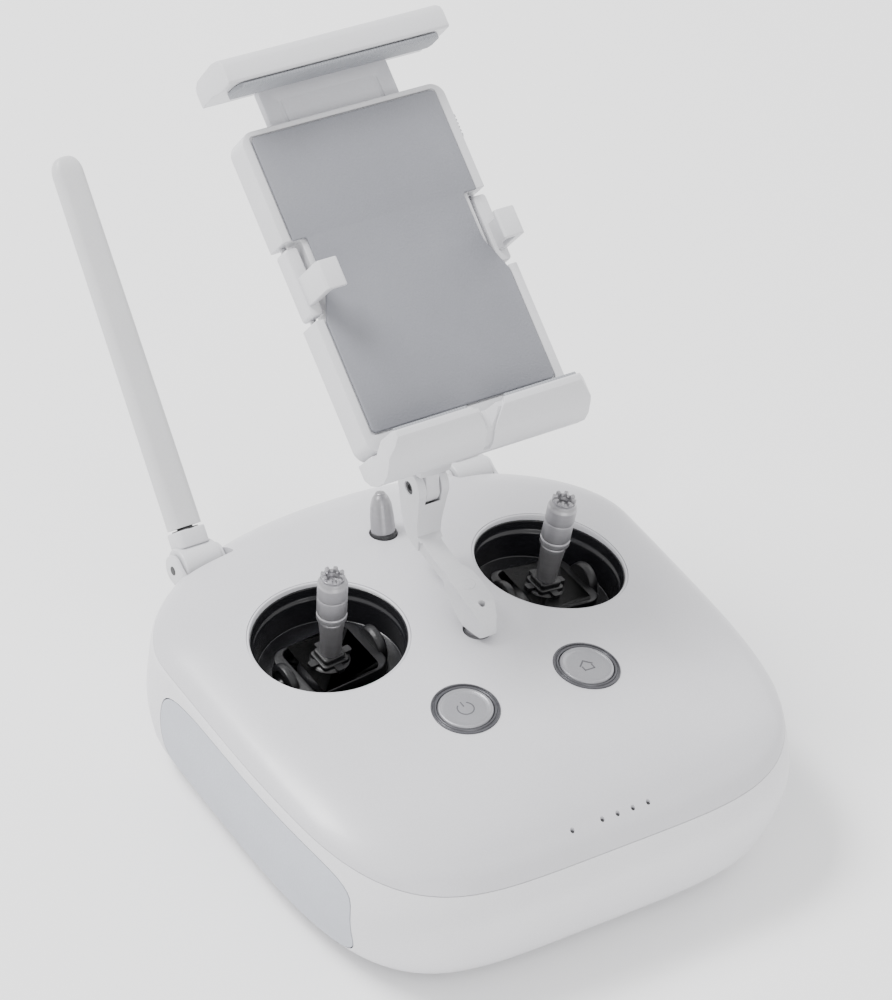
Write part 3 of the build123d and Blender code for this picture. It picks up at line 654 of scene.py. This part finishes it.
for name, side in SIDES:
    pl = well_frame(side)
    lip = well_lip(name + "_well_lip", side)
    place(lip, "shell_white", "body", (), 60)
    bowl = soften([(16.0, -15.0), (23.0, -15.0), (23.0, -6.0), (23.9, -5.0), (23.9, -1.6), (24.95, -1.6),
                   (24.95, -16.2), (16.0, -16.2)], 0.5)
    bowl = lathe(name + "_bowl", pl, bowl + [bowl[0]], 128)
    place(bowl, "well_black", "body", [name + "_well"], 50)
    pivot = shifted(pl, (0, 0, -13))

    yoke = prism("y", rounded(0, 0, 30.0, 24.5, 5.0), pivot, -1.2, 3.0)
    boolean(yoke, [prism("tool", rounded(0, 0, 22.4, 22.8, 3.0), pivot, -4, 6)])
    bevel(yoke, 0.5)
    parts = [yoke]
    for end in (-1, 1):
        ax = local(at(pivot, (end * 14.6, 0, 0.9)), pivot[2], pivot[1] * end)
        parts.append(lathe("a", ax, soften([(0, -0.6), (6.0, -0.6), (6.6, 0.6), (6.6, 2.2), (5.2, 3.0),
                                            (4.8, 2.4),
                                            (2.2, 2.4), (1.7, 4.6), (0, 4.6)], 0.4), 48))
    yoke = join(name + "_gimbal_yoke", parts)
    place(yoke, "boot_black", name + "_gimbal_frame", [name + "_gimbal"], 40)

    dome = lathe("d", pivot, soften([(0, 3.6), (5.6, 3.6), (6.4, 3.0), (9.4, 0.4), (10.6, -2.0),
                                     (10.6, -3.0),
                                     (0, -3.0)], 0.6), 72)
    square = prism("s", rounded(0, 0, 9.4, 9.4, 1.4), pivot, 3.0, 4.8)
    upper = prism("s2", rounded(0, 0, 7.6, 7.6, 1.2), pivot, 4.6, 6.4)
    bevel(square, 0.5)
    bevel(upper, 0.6)
    arms = []
    for end in (-1, 1):
        arms.append(box("r", shifted(pivot, (0, end * 5.6, 0)), 0, 0, 2.6, 3.4, 3.0, 4.4, 0.6))
        arms.append(box("r", shifted(pivot, (end * 5.6, 0, 0)), 0, 0, 3.4, 2.6, 3.0, 4.4, 0.6))
    boot = join(name + "_boot_cover", [dome, square, upper] + arms)
    place(boot, "boot_black", name + "_stick_unit", [name + "_boot"], 40)

    along = stick_frame(side)
    shaft = soften([(0, 6.2), (3.15, 6.2), (3.3, 7.0), (3.55, 14.0), (4.05, 19.2), (4.05, 19.9),
                    (3.9, 20.1),
                    (3.9, 20.4), (0, 20.4)], 0.25)
    place(lathe(name + "_stick_shaft", along, shaft, 64), "silver_metal", name + "_stick_unit",
          [name + "_stick"], 40)

    def crown(a, r, h):
        """Eight low teeth round the top edge."""
        if h > 36.9 and r > 2.0:
            tooth = 0.5 + 0.5 * math.tanh(4 * math.cos(8 * a))
            return r - 0.22 * (1 - tooth), h - 1.0 * (1 - tooth)
        return r, h

    head = soften([(0, 20.4), (4.3, 20.4), (4.75, 20.8), (4.75, 22.6), (4.5, 22.85), (4.5, 23.15),
                   (4.7, 23.4),
                   (4.7, 29.4), (4.62, 29.5), (4.62, 29.9), (4.7, 30.0), (4.7, 34.6), (4.35, 35.5),
                   (3.7, 36.2),
                   (3.7, 36.8), (3.8, 37.4), (3.75, 38.3), (2.3, 38.3), (2.1, 37.0), (1.7, 36.2),
                   (1.5, 35.4),
                   (0, 35.4)], 0.12)
    place(lathe(name + "_stick_top", along, head, 144, crown), "silver_metal", name + "_stick_unit",
          [name + "_stick_head"], 30)

# ---------------------------------------------------------------------------
# Buttons, lights, posts
# ---------------------------------------------------------------------------

for name, side in (("power", -1), ("home", 1)):
    pl = button_frame(side)
    ring = soften([(8.72, -3.0), (8.72, -0.3), (9.0, -0.02), (9.35, -0.02), (9.6, -0.5), (10.1, -0.55),
                   (10.1, -0.15),
                   (10.5, -0.12), (10.5, -3.0)], 0.12)
    place(lathe(name + "_bezel", pl, ring + [ring[0]], 96), "ring_dark", "body", [name + "_button_ring"],
          40)
    cap = soften([(0, -4.0), (8.55, -4.0), (8.55, -0.35), (8.2, 0.22), (7.5, 0.30), (7.2, 0.08),
                  (6.4, -0.10),
                  (0, -0.22)], 0.25)
    place(lathe(name + "_cap", pl, cap, 96), "button_silver", name + "_button", [name + "_button"], 30)

    marks = []
    if name == "power":
        arc = [math.radians(125 + i * 290 / 40) for i in range(41)]
        r0, r1 = 2.35, 2.75
        line = [(r1 * math.cos(t), r1 * math.sin(t)) for t in arc]
        line += [(r0 * math.cos(t), r0 * math.sin(t)) for t in reversed(arc)]
        marks.append(prism("m", line, pl, -0.3, -0.12))
        marks.append(prism("m", rounded(-0.05, 2.0, 0.42, 2.2, 0.2, 3), pl, -0.3, -0.12))
    else:
        roof = [(-2.5, 0.4), (0, 2.6), (2.5, 0.4), (2.15, 0.05), (0, 1.95), (-2.15, 0.05)]
        marks.append(prism("m", roof, pl, -0.3, -0.12))
        for x, y, w, h in ((-1.75, -0.9, 0.4, 1.9), (1.75, -0.9, 0.4, 1.9), (0, -1.75, 3.9, 0.4)):
            marks.append(prism("m", rounded(x, y, w, h, 0.15, 3), pl, -0.3, -0.12))
    place(join(name + "_mark", marks), "symbol_dark", name + "_button", (), 40)

for post, node, pl in ((0, "rear_post", REAR), (1, "front_post", FRONT)):
    if post == 0:
        shape = [(0, -3.5), (3.9, -3.5), (3.9, 0.6), (3.75, 4.6), (3.35, 8.4), (2.6, 10.6), (1.75, 11.7),
                 (1.5, 12.3),
                 (0, 12.4)]
    else:
        shape = [(0, -4.0), (3.9, -4.0), (3.9, 0.5), (3.7, 0.9), (3.7, 4.2), (3.4, 4.6), (3.4, 8.3),
                 (0, 8.3)]
    place(lathe(node.replace("_", "_metal_"), pl, soften(shape, 0.5), 64), "silver_metal", "body", [node],
          40)
    cup = soften([(4.05, -3.0), (4.05, -1.1), (4.15, -0.95), (4.25, -1.1), (4.25, -3.0)], 0.06)
    place(lathe(node + "_socket", pl, cup + [cup[0]], 48), "panel_black", "body", (), 40)

lens_profile = soften([(0, -4), (0.68, -4), (0.68, -0.62), (0.4, -0.5), (0, -0.46)], 0.1)
lenses = []
for x in LIGHTS:
    spot = local((x, LIGHT_Y, surface_z(x, LIGHT_Y)), (1, 0, 0), (0, 0, 1))
    lenses.append(lathe("status_light_lens", spot, lens_profile, 20))
place(join("charge_light_lenses", lenses[1:]), "light_window", "body", ["battery_lights"], 40)
place(lenses[0], "light_window", "body", ["status_light"], 40)

# ---------------------------------------------------------------------------
# Controls on the rear shoulders, ports, underside
# ---------------------------------------------------------------------------

for node in DIALS:
    pl = wall_of(node)
    axle = local(at(pl, (0, 0, -6.2)), pl[1], pl[2])

    def knurl(a, r, h):
        return (r - 0.28 * (0.5 + 0.5 * math.cos(30 * a)), h) if r > 8.0 else (r, h)

    wheel = soften([(0, -3.0), (7.6, -3.0), (8.5, -2.3), (8.5, 2.3), (7.6, 3.0), (0, 3.0)], 0.3)
    place(lathe(node + "_wheel", axle, wheel, 240, knurl), "light_grey", node, [node], 30)

for node in REAR_BUTTONS:
    pl = wall_of(node)
    cap = soften([(0, -5), (3.95, -5), (3.95, 0.8), (3.5, 1.3), (2.4, 1.28), (1.2, 1.05), (0, 1.0)], 0.35)
    place(lathe(node + "_cap", pl, cap, 56), "light_grey", node, [node], 35)
    rim = soften([(4.02, -1.6), (4.02, 0.0), (4.2, 0.16), (4.4, 0.0), (4.4, -1.6)], 0.06)
    place(lathe(node + "_rim", pl, rim + [rim[0]], 56), "ring_dark", "body", (), 35)

CHARGE_X = 14.6

pl = wall_of("mode_switch")
plate = box("p", pl, 0, 0, 16.0, 4.4, -9.4, -7.4, 1.0)
knob = box("k", pl, 0, 0, 5.0, 4.0, -7.5, 1.4, 0.9)
grooves = [box("tool", pl, x, 0, 0.45, 5.0, 0.9, 2.0, 0.1) for x in (-1.2, 0, 1.2)]
boolean(knob, grooves)
bevel(knob, 0.3)
place(join("mode_switch_slider", [plate, knob]), "light_grey", "mode_switch", ["mode_switch"], 35)

panel_plane = local((0, 0, 24), (-1, 0, 0), (0, 1, 0))
panel = prism("rear_port_panel", rounded(0, 0, 45.4, 15.4, 2.8), panel_plane, 83.2, 85.35)
boolean(panel, [prism("tool", rounded(x, 0, w, h, 0.9), panel_plane, 80, 90)
                for x, w, h in ((0, 14.6, 7.2), (-CHARGE_X, 10.5, 6.5))])
bevel(panel, 0.35)
place(panel, "panel_black", "body", ["rear_panel"], 35)

usb = local((0, 85.2, 24), (1, 0, 0), (0, -1, 0))
shell = prism("u", rounded(0, 0, 13.9, 6.5, 0.6), usb, 0, 13.9)
boolean(shell, [prism("tool", rounded(0, 0, 13.1, 5.7, 0.4), usb, -1, 13.0)])
tongue = box("t", usb, 0, 1.0, 11.0, 1.7, 2.0, 13.4, 0.2)
pins = [box("c", usb, x, 0.05, 1.1, 0.25, 2.6, 12.5, 0.1) for x in (-3.4, -1.15, 1.15, 3.4)]
place(shell, "port_metal", "body", ["usb_port"], 35)
shell.name = "usb_sleeve"
tongue.name = "usb_tongue"
place(tongue, "panel_black", "body", (), 35)
place(join("usb_contacts", pins), "screw_steel", "body", (), 35)

inlet = local((CHARGE_X, 85.2, 24), (1, 0, 0), (0, -1, 0))
sleeve = prism("charge_inlet", rounded(0, 0, 9.9, 5.9, 1.2), inlet, 0, 12)
boolean(sleeve, [prism("tool", rounded(0, 0, 8.2, 4.2, 0.9), inlet, -1, 9)])
bevel(sleeve, 0.25)
place(sleeve, "panel_black", "body", ["charge_port"], 35)
blades = [box("c", inlet, x, 0, 0.8, 2.4, 3.0, 9.2, 0.2) for x in (-2.7, -0.9, 0.9, 2.7)]
place(join("charge_contacts", blades), "screw_steel", "body", (), 35)

screws = []
screw = soften([(0, -18.4), (1.4, -18.4), (1.4, -1.8), (2.9, -1.8), (2.9, -0.6), (2.3, -0.2), (0, -0.2)],
               0.15)
for x, y in SCREWS:
    down = local((x, y, 0), (1, 0, 0), (0, 0, -1))
    s = lathe("s", down, screw, 40)
    boolean(s, [prism("tool", circle(0, 0, 1.3, 6), down, -1.4, 1)])
    screws.append(s)
place(join("case_screws", screws), "screw_steel", "body", ["base_screws"], 35)

foot = soften([(0, 0.0), (5.3, 0.0), (5.9, 0.35), (5.9, 0.95), (0, 0.95)], 0.2)
feet = [lathe("f", local((x, y, 0), (1, 0, 0), (0, 0, 1)), foot, 48) for x, y in FEET]
place(join("rubber_feet", feet), "grip_grey", "body", ["base_pads"], 35)

for name, side in SIDES:
    node = name + "_custom_button"
    down = local((side * CUSTOM_X, CUSTOM_Y, 0), (1, 0, 0), (0, 0, -1))
    cap = soften([(0, -5.3), (3.95, -5.3), (3.95, -0.6), (3.5, -0.32), (1.5, -0.55), (0, -0.6)], 0.3)
    place(lathe(node + "_cap", down, cap, 56), "light_grey", node, [node], 35)

# ---------------------------------------------------------------------------
# Support bracket and holder neck
# ---------------------------------------------------------------------------

TY, TZ = 36.0, 91.0


def arm_outline():
    knuckle = fan(TY, TZ, 6.2, -12, 192, 28)
    over = [(30.2, 79.5), (29.6, 75.6), (27.0, 73.8), (22, 73.0), (16.0, 72.6), (14.2, 73.3),
            (12.0, 73.3), (6, 73.0)]
    nose = [(-1.5, 71.6), (-5.0, 68.6), (-7.2, 65.2), (-7.4, 63.2)]
    under = [(-6.4, 62.4), (2.0, 63.4), (9.0, 66.2), (14.5, 69.0), (20, 69.6), (26, 70.2)]
    back = [(32.4, 70.7), (35.8, 72.2), (38.0, 75.4), (39.6, 80.0), (41.2, 87.0)]
    return knuckle + over + nose + under + back


arm = prism("bracket_arm", arm_outline(), SIDE_VIEW, -5.5, 5.5)
slot_plane = local((0, TY, TZ), (0, 1, 0), (1, 0, 0))
tools = [prism("tool", circle(0, 0, 6.8, 48), slot_plane, -2.8, 2.8),
         drill(slot_plane, 0, 0, 1.5, -9, 9, 32), drill(slot_plane, 0, 0, 2.3, -9, -4.9, 32),
         drill(slot_plane, 0, 0, 2.3, 4.9, 9, 32), drill(WORLD, 0, -1.2, 1.1, 66.5, 80, 32)]
waist = [(3.4, 29.0), (3.4, 15.0), (4.6, 11.0), (4.9, 0.0), (3.4, -5.0), (1.6, -9), (12, -9), (12, 29.0)]
tools += [prism("tool", [(x, y) for x, y in waist], WORLD, 60, 74.4),
          prism("tool", [(-x, y) for x, y in waist], WORLD, 60, 74.4)]
across_y = local((0, 0, 0), (1, 0, 0), (0, -1, 0))                    # x = X, y = Z, z = -Y
taper = [(5.5, 92), (3.7, 69), (3.4, 60), (9, 60), (9, 92)]
tools += [prism("tool", [(side * x, y) for x, y in taper], across_y, -60, -16) for side in (-1, 1)]
boolean(arm, tools)
bevel(arm, 0.55, 3, 30)
place(arm, "holder_white", "body", ["support_bracket"], 40)
boss = lathe("arm_bump", local((0, 7.2, 72.95), (1, 0, 0), (0, 0.02, 1)),
             soften([(0, -0.6), (2.6, -0.6), (2.5, 0.2), (1.9, 0.22), (0, 0.24)], 0.3), 40)
place(boss, "holder_white", "body", (), 40)
pin_half = [(0, 4.95), (2.2, 4.95), (2.2, 4.4), (1.46, 4.4)]
pin_profile = [(r, -h) for r, h in pin_half] + pin_half[::-1]
pin = lathe("hinge_screw", slot_plane, soften(pin_profile, 0.12), 40)
boolean(pin, [prism("tool", circle(0, 0, 1.15, 6), slot_plane, -6, -4.5)])
place(pin, "panel_black", "body", ["tilt_pin"], 40)

neck_pts = [(30.4, 98.6), (29.3, 104), (28.6, 112), (27.2, 123.0), (26.2, 124.6), (50.0, 140.9),
            (48.4, 136.0),
            (45.4, 120.0), (43.0, 108.0), (41.8, 98.6), (39.8, 97.9), (32.4, 97.9)]
neck = prism("n", neck_pts, SIDE_VIEW, -5.5, 5.5)
flank = rounded(36.2, 109.5, 5.0, 13.0, 2.0)
boolean(neck, [prism("tool", flank, SIDE_VIEW, x0, x1) for x0, x1 in ((-9, -4.3), (4.3, 9))])
keep = prism("tool", rounded(0, 40, 90, 160, 2), HOLDER, -60, -10.72)
boolean(neck, [keep], "INTERSECT")
bevel(neck, 0.7, 3, 30)
tab_pts = fan(TY, TZ, 5.9, -180, 0, 24)
tab_pts += [(TY + 4.6, TZ + 4), (TY + 4.2, TZ + 8.0), (TY - 4.2, TZ + 8.0), (TY - 4.6, TZ + 4)]
tab = prism("t", tab_pts, SIDE_VIEW, -2.45, 2.45)
boolean(tab, [drill(slot_plane, 0, 0, 1.56, -9, 9, 32)])
bevel(tab, 0.3, 2, 30)
place(join("neck_column", [neck, tab]), "holder_white", "device_holder", ["holder_neck"], 40)

# ---------------------------------------------------------------------------
# Device holder
# ---------------------------------------------------------------------------

back = prism("holder_frame", rounded(0, 46.5, 72, 105, 4.5, 8), HOLDER, -10.7, -0.55)
tools = [box("tool", HOLDER, 0, 60.5, 46.8, 84, -6.75, -2.95, 0.4),
         box("tool", HOLDER, 0, 48.5, 65.9, 97.6, -1.25, 2, 1.0)]
for side in (-1, 1):
    tools.append(box("tool", HOLDER, side * 33.6, 50.5, 7.9, 25.4, -14, 4, 1.0))
tools.append(box("tool", HOLDER, 34, 85, 12, 9.2, -8.5, -3.9, 0.8))
for u in (12, 80):
    tools.append(box("tool", HOLDER, 0, u, 40, 12 if u < 40 else 16, -14, -9.8, 3.0))
boolean(back, tools)
bevel(back, 0.8, 4, 40)
place(back, "holder_white", "device_holder", ["holder_back"], 40)

outline = [(-32.6, 1.2), (-31.6, 0.2), (31.6, 0.2), (32.6, 1.2), (32.6, 36.5), (31.6, 39.0), (28.2, 47.0),
           (27.9, 49.0), (27.9, 62.4), (28.4, 63.0), (32.6, 63.0), (32.6, 95.8), (31.6, 96.8),
           (-31.6, 96.8),
           (-32.6, 95.8), (-32.6, 63.0), (-28.4, 63.0), (-27.9, 62.4), (-27.9, 49.0), (-28.2, 47.0),
           (-31.6, 39.0),
           (-32.6, 36.5)]
pad = prism("device_pad", outline, HOLDER, -1.2, 0.0)
bevel(pad, 0.35, 3, 25)
place(pad, "pad_grey", "device_holder", ["holder_pad"], 40)

plate = prism("extension_plate", rounded(0, 73, 45.6, 78, 1.5), HOLDER, -6.3, -3.3)
grooves = [box("tool", HOLDER, x, 72, 1.2, 70, -3.7, -2, 0.3) for x in (-17, 17)]
boolean(plate, grooves)
bevel(plate, 0.3, 3, 30)
place(plate, "slide_grey", "holder_extension", ["extension_slide"], 40)

jaw_pts = [(112.05, -9.4), (112.05, 0.3), (111.3, 3.0), (111.05, 6.0), (111.05, 12.0), (111.6, 12.5),
           (116.6, 12.5),
           (118.2, 11.8), (119.6, 9.6), (120.3, 6.0), (119.9, -6.2), (118.7, -8.4), (117.2, -9.4)]
jaw = prism("jaw_bar", jaw_pts, HOLDER_SIDE, -39, 39)
tools = [box("tool", HOLDER_SIDE, 118.5, -4.4, 9, 6.4, -36, 36, 2.0)]
boolean(jaw, tools)
bevel(jaw, 1.1, 4, 35)
place(jaw, "holder_white", "holder_extension", ["top_jaw"], 40)

strip_pts = [(111.9, 0.6), (110.9, 3.2), (110.75, 11.2), (110.2, 11.7), (109.6, 11.4), (109.4, 10.6),
             (109.4, 1.6),
             (110.2, 0.4)]
strip = prism("s", strip_pts, HOLDER_SIDE, -36, 36)
along_u = (at(HOLDER, (0, 0, 0)), HOLDER[3], HOLDER[1], HOLDER[2])    # x = n, y = X, z = u
boolean(strip, [prism("tool", rounded(6.0, 0, 12.6, 72.4, 5.2, 10), along_u, 100, 120)], "INTERSECT")
bevel(strip, 0.22, 2, 35)
strip.name = "jaw_strip"
place(strip, "rubber_pale", "holder_extension", ["jaw_rubber"], 40, "strip_dark")

across_u = (at(HOLDER, (0, 0, 0)), HOLDER[1], HOLDER[3], HOLDER[2])   # x = X, y = n, z = u
lip_pts = [(-6.1, -10.6), (-10.6, -10.6), (-13.2, -8.2), (-14.7, -4.6), (-15.2, 0.0), (-14.2, 3.6),
           (-11.6, 7.6),
           (-8.0, 11.4), (-5.6, 13.0), (-3.8, 13.0), (-3.2, 12.2), (-4.4, 8.2), (-6.0, 4.4), (-7.6, 1.2),
           (-7.2, -0.6),
           (-6.1, -1.1)]
lip = prism("lower_lip", lip_pts, HOLDER_SIDE, -36, 36)
vee = [(-6.4, 0), (-5.8, -3.6), (-2.4, -9.0), (-1.5, -11.2), (-1.2, -20), (1.2, -20), (1.5, -11.2),
       (2.4, -9.0),
       (5.8, -3.6), (6.4, 0)]
notch = prism("tool", [(-4.6, 14), (-0.9, 8.0), (0.9, 8.0), (4.6, 14)], across_u, -30, 0)
tools = [prism("tool", vee, HOLDER, 0.6, 30)]
for side in (-1, 1):
    tools.append(prism("tool", [(side * 37, 7.5), (side * 37, 14), (side * 32.0, 14)], across_u, -30, 0))
web_pts = [(-6.1, -10.6), (-9.8, -10.2), (-12.2, -7.6), (-13.6, -4.2), (-14.1, 0.0), (-13.2, 3.3),
           (-10.8, 7.0),
           (-7.4, 10.4), (-5.6, 11.6), (-4.1, 11.6), (-4.6, 8.2), (-6.0, 4.4), (-7.6, 1.2), (-7.2, -0.6),
           (-6.1, -1.1)]
boolean(lip, tools)
boolean(lip, [prism("tool", web_pts, HOLDER_SIDE, -7, 7)], "UNION")
boolean(lip, [notch])
bevel(lip, 0.9, 4, 28)
place(lip, "holder_white", "device_holder", ["bottom_lip"], 45)

rub = [(-3.45, 12.2), (-4.5, 8.2), (-6.1, 4.4), (-7.6, 1.3), (-6.9, 0.5), (-5.2, 3.8), (-3.5, 7.8),
       (-2.3, 11.8)]
strip = prism("lip_strip", rub, HOLDER_SIDE, -32.4, 32.4)
boolean(strip, [box("tool", HOLDER, 0, 0, 13.4, 40, -4, 30, 0.3)])
bevel(strip, 0.25, 2, 35)
place(strip, "rubber_pale", "device_holder", ["lip_rubber"], 45, "strip_dark")

for name, side in SIDES:
    base = prism("b", rounded(side * 33.6, 50.5, 4.5, 22, 1.2), HOLDER, -8.8, -1.85)
    hook = [(32.6, -3.4), (32.6, 9.9), (32.0, 10.5), (28.4, 10.5), (27.9, 10.9), (27.9, 12.0),
            (28.4, 12.5),
            (34.4, 12.5), (35.2, 11.7), (35.2, -3.4)]
    side_pl = (at(HOLDER, (0, 41.5, 0)), HOLDER[1] * side, HOLDER[3], HOLDER[2])
    arm_piece = prism("a", hook, side_pl, 1.4, 10.6)
    bevel(arm_piece, 0.5, 3, 30)
    bevel(base, 0.5, 3, 30)
    tip = prism("t", rounded(32.2, 5.4, 0.9, 6.0, 0.4), side_pl, 2.4, 9.6)
    bevel(tip, 0.2, 2, 30)
    clip = join(name + "_clip_hook", [base, arm_piece, tip])
    place(clip, "holder_white", name + "_clip", [name + "_clip"], 40)

rel = (at(HOLDER, (31, 85, -6.2)), HOLDER[2], HOLDER[3], HOLDER[1])
button = prism("release_cap", rounded(0, 0, 8.4, 3.9, 1.2), rel, 0, 7.5)
boolean(button, [box("tool", rel, x, 0, 0.5, 5, 7.1, 9, 0.1) for x in (-2.4, -1.2, 0, 1.2, 2.4)])
bevel(button, 0.3, 3, 35)
place(button, "light_grey", "release_button", ["release_button"], 40)

# ---------------------------------------------------------------------------
# Antennas
# ---------------------------------------------------------------------------

for name, side in SIDES:
    j = joint(name + "_antenna_twist")
    fold = np.array(joint(name + "_antenna_fold")["pos_m"]) * 1000
    pl = local(fold, (1, 0, 0), j["axis"])
    barrel = local(fold, (0, 1, 0), (1, 0, 0))
    knuckle = lathe("k", barrel, soften([(1.55, -6.5), (6.2, -6.5), (6.5, -6.1), (6.5, 6.1), (6.2, 6.5),
                                         (1.55, 6.5)],
                                        0.3), 64)
    neck = prism("n", rounded(0, 0, 10.8, 8.8, 2.0), pl, 5.6, 11.2)
    bevel(neck, 0.5, 3, 40)
    collar = [(0, 10.0), (3.2, 10.0), (3.2, 11.6), (2.6, 11.6), (2.6, 17.4), (0, 17.4)]
    collar = lathe("c", pl, soften(collar, 0.1), 40)
    slot_ring = lathe("r", pl, soften([(0, 11.0), (4.3, 11.0), (4.3, 11.55), (0, 11.55)], 0.1), 40)
    place(join(name + "_antenna_knuckle", [knuckle, neck]), "holder_white", name + "_antenna_hinge",
          [name + "_antenna_base"], 40)
    place(join(name + "_antenna_spigot", [collar, slot_ring]), "panel_black", name + "_antenna_hinge", (),
          40)

    def blade_ring(t, w, d, r, k=8):
        pts = rounded(0, 0, w, d, r, k)
        return [at(pl, (x, y, t)) for x, y in pts]

    steps = []
    for t in np.linspace(12.1, 129.0, 26):
        f = (t - 12.1) / 117
        steps.append((t, 11.1 - 0.9 * f, 6.9 - 1.4 * f))
    for a in np.radians(np.linspace(8, 88, 12)):
        wide, deep = max(0.04, math.cos(a)) ** 0.75, max(0.05, math.cos(a)) ** 0.6
        steps.append((129.0 + 5.9 * math.sin(a), 10.2 * wide + 0.02, 5.5 * deep))
    rings = [blade_ring(t, w, d, min(w, d) * 0.42) for t, w, d in steps]
    m = len(rings[0])
    verts = [p for r in rings for p in r]
    faces = [tuple(range(m)), tuple(range((len(rings) - 1) * m, len(rings) * m))]
    for i in range(len(rings) - 1):
        a, b = i * m, (i + 1) * m
        faces += [(a + q, a + (q + 1) % m, b + (q + 1) % m, b + q) for q in range(m)]
    blade = raw(name + "_antenna_paddle", verts, faces)
    boolean(blade, [drill(pl, 0, 0, 2.7, 8, 18, 40)])
    place(blade, "antenna_grey", name + "_antenna_blade", [name + "_antenna"], 45)

ears = []
for name, side in SIDES:
    for inner in (-8.5, 6.9):
        ear = fan(ANTENNA_Y, ANTENNA_Z, 4.8, -80, 100, 24)
        ear += [(76.5, 46.4), (72.0, 45.0), (72.0, 38.3), (76.5, 38.2)]
        e = prism("e", ear, local((side * ANTENNA_X, 0, 0), (0, 1, 0), (1, 0, 0)), inner, inner + 1.6)
        bevel(e, 0.35, 2, 35)
        ears.append(e)
    ears.append(box("e", WORLD, side * ANTENNA_X, 72.4, 17, 1.1, 36.0, 45.0, 0.2))
place(join("antenna_ears", ears), "holder_white", "body", ["antenna_mounts"], 40)
pins = []
for name, side in SIDES:
    bar = local((side * ANTENNA_X, ANTENNA_Y, ANTENNA_Z), (0, 1, 0), (1, 0, 0))
    pins.append(lathe("p", bar, soften([(0, -8.62), (1.5, -8.62), (1.5, 8.62), (0, 8.62)], 0.15), 32))
place(join("antenna_hinge_pins", pins), "panel_black", "body", ["antenna_pins"], 40)

# ---------------------------------------------------------------------------
# Floor, light, camera
# ---------------------------------------------------------------------------

me = bpy.data.meshes.new("floor")
me.from_pydata([(-6, -6, 0), (6, -6, 0), (6, 6, 0), (-6, 6, 0)], [], [(0, 1, 2, 3)])
floor = bpy.data.objects.new("floor", me)
bpy.context.scene.collection.objects.link(floor)
fm = bpy.data.materials.new("floor_pale")
fm.use_nodes = True
fm.node_tree.nodes["Principled BSDF"].inputs["Base Color"].default_value = (0.92, 0.92, 0.925, 1)
fm.node_tree.nodes["Principled BSDF"].inputs["Roughness"].default_value = 0.7
me.materials.append(fm)

world = bpy.data.worlds.new("studio")
bpy.context.scene.world = world
world.use_nodes = True
world.node_tree.nodes["Background"].inputs["Color"].default_value = (1.0, 1.0, 1.0, 1)
world.node_tree.nodes["Background"].inputs["Strength"].default_value = 1.35


def area(name, loc, target, size, power):
    d = bpy.data.lights.new(name, "AREA")
    d.shape = "RECTANGLE"
    d.size, d.size_y = size
    d.energy = power
    o = bpy.data.objects.new(name, d)
    o.location = loc
    o.rotation_euler = (Vector(target) - Vector(loc)).to_track_quat("-Z", "Y").to_euler()
    bpy.context.scene.collection.objects.link(o)


area("key", (-0.9, 0.9, 1.9), (0, 0, 0.05), (0.9, 0.7), 68)
area("fill", (-0.5, -1.9, 0.7), (0, 0, 0.04), (1.4, 0.9), 11)
area("rim", (1.5, 0.4, 0.9), (0, 0, 0.08), (0.8, 1.2), 6)

cam = bpy.data.cameras.new("camera")
cam.lens = 150.79
cam.sensor_width = 36
cam.clip_start, cam.clip_end = 0.05, 30
co = bpy.data.objects.new("camera", cam)
forward = unit((0.476655, 0.611019, -0.632025))
right = unit((0.835933, -0.537537, 0.110766))
right = unit(right - forward * (right @ forward))
up = np.cross(right, forward)
m = Matrix.Identity(4)
for i in range(3):
    m[i][0], m[i][1], m[i][2] = right[i], up[i], -forward[i]
m.translation = Vector((-0.608441, -0.756359, 0.900447))
co.matrix_world = m
bpy.context.scene.collection.objects.link(co)
bpy.context.scene.camera = co
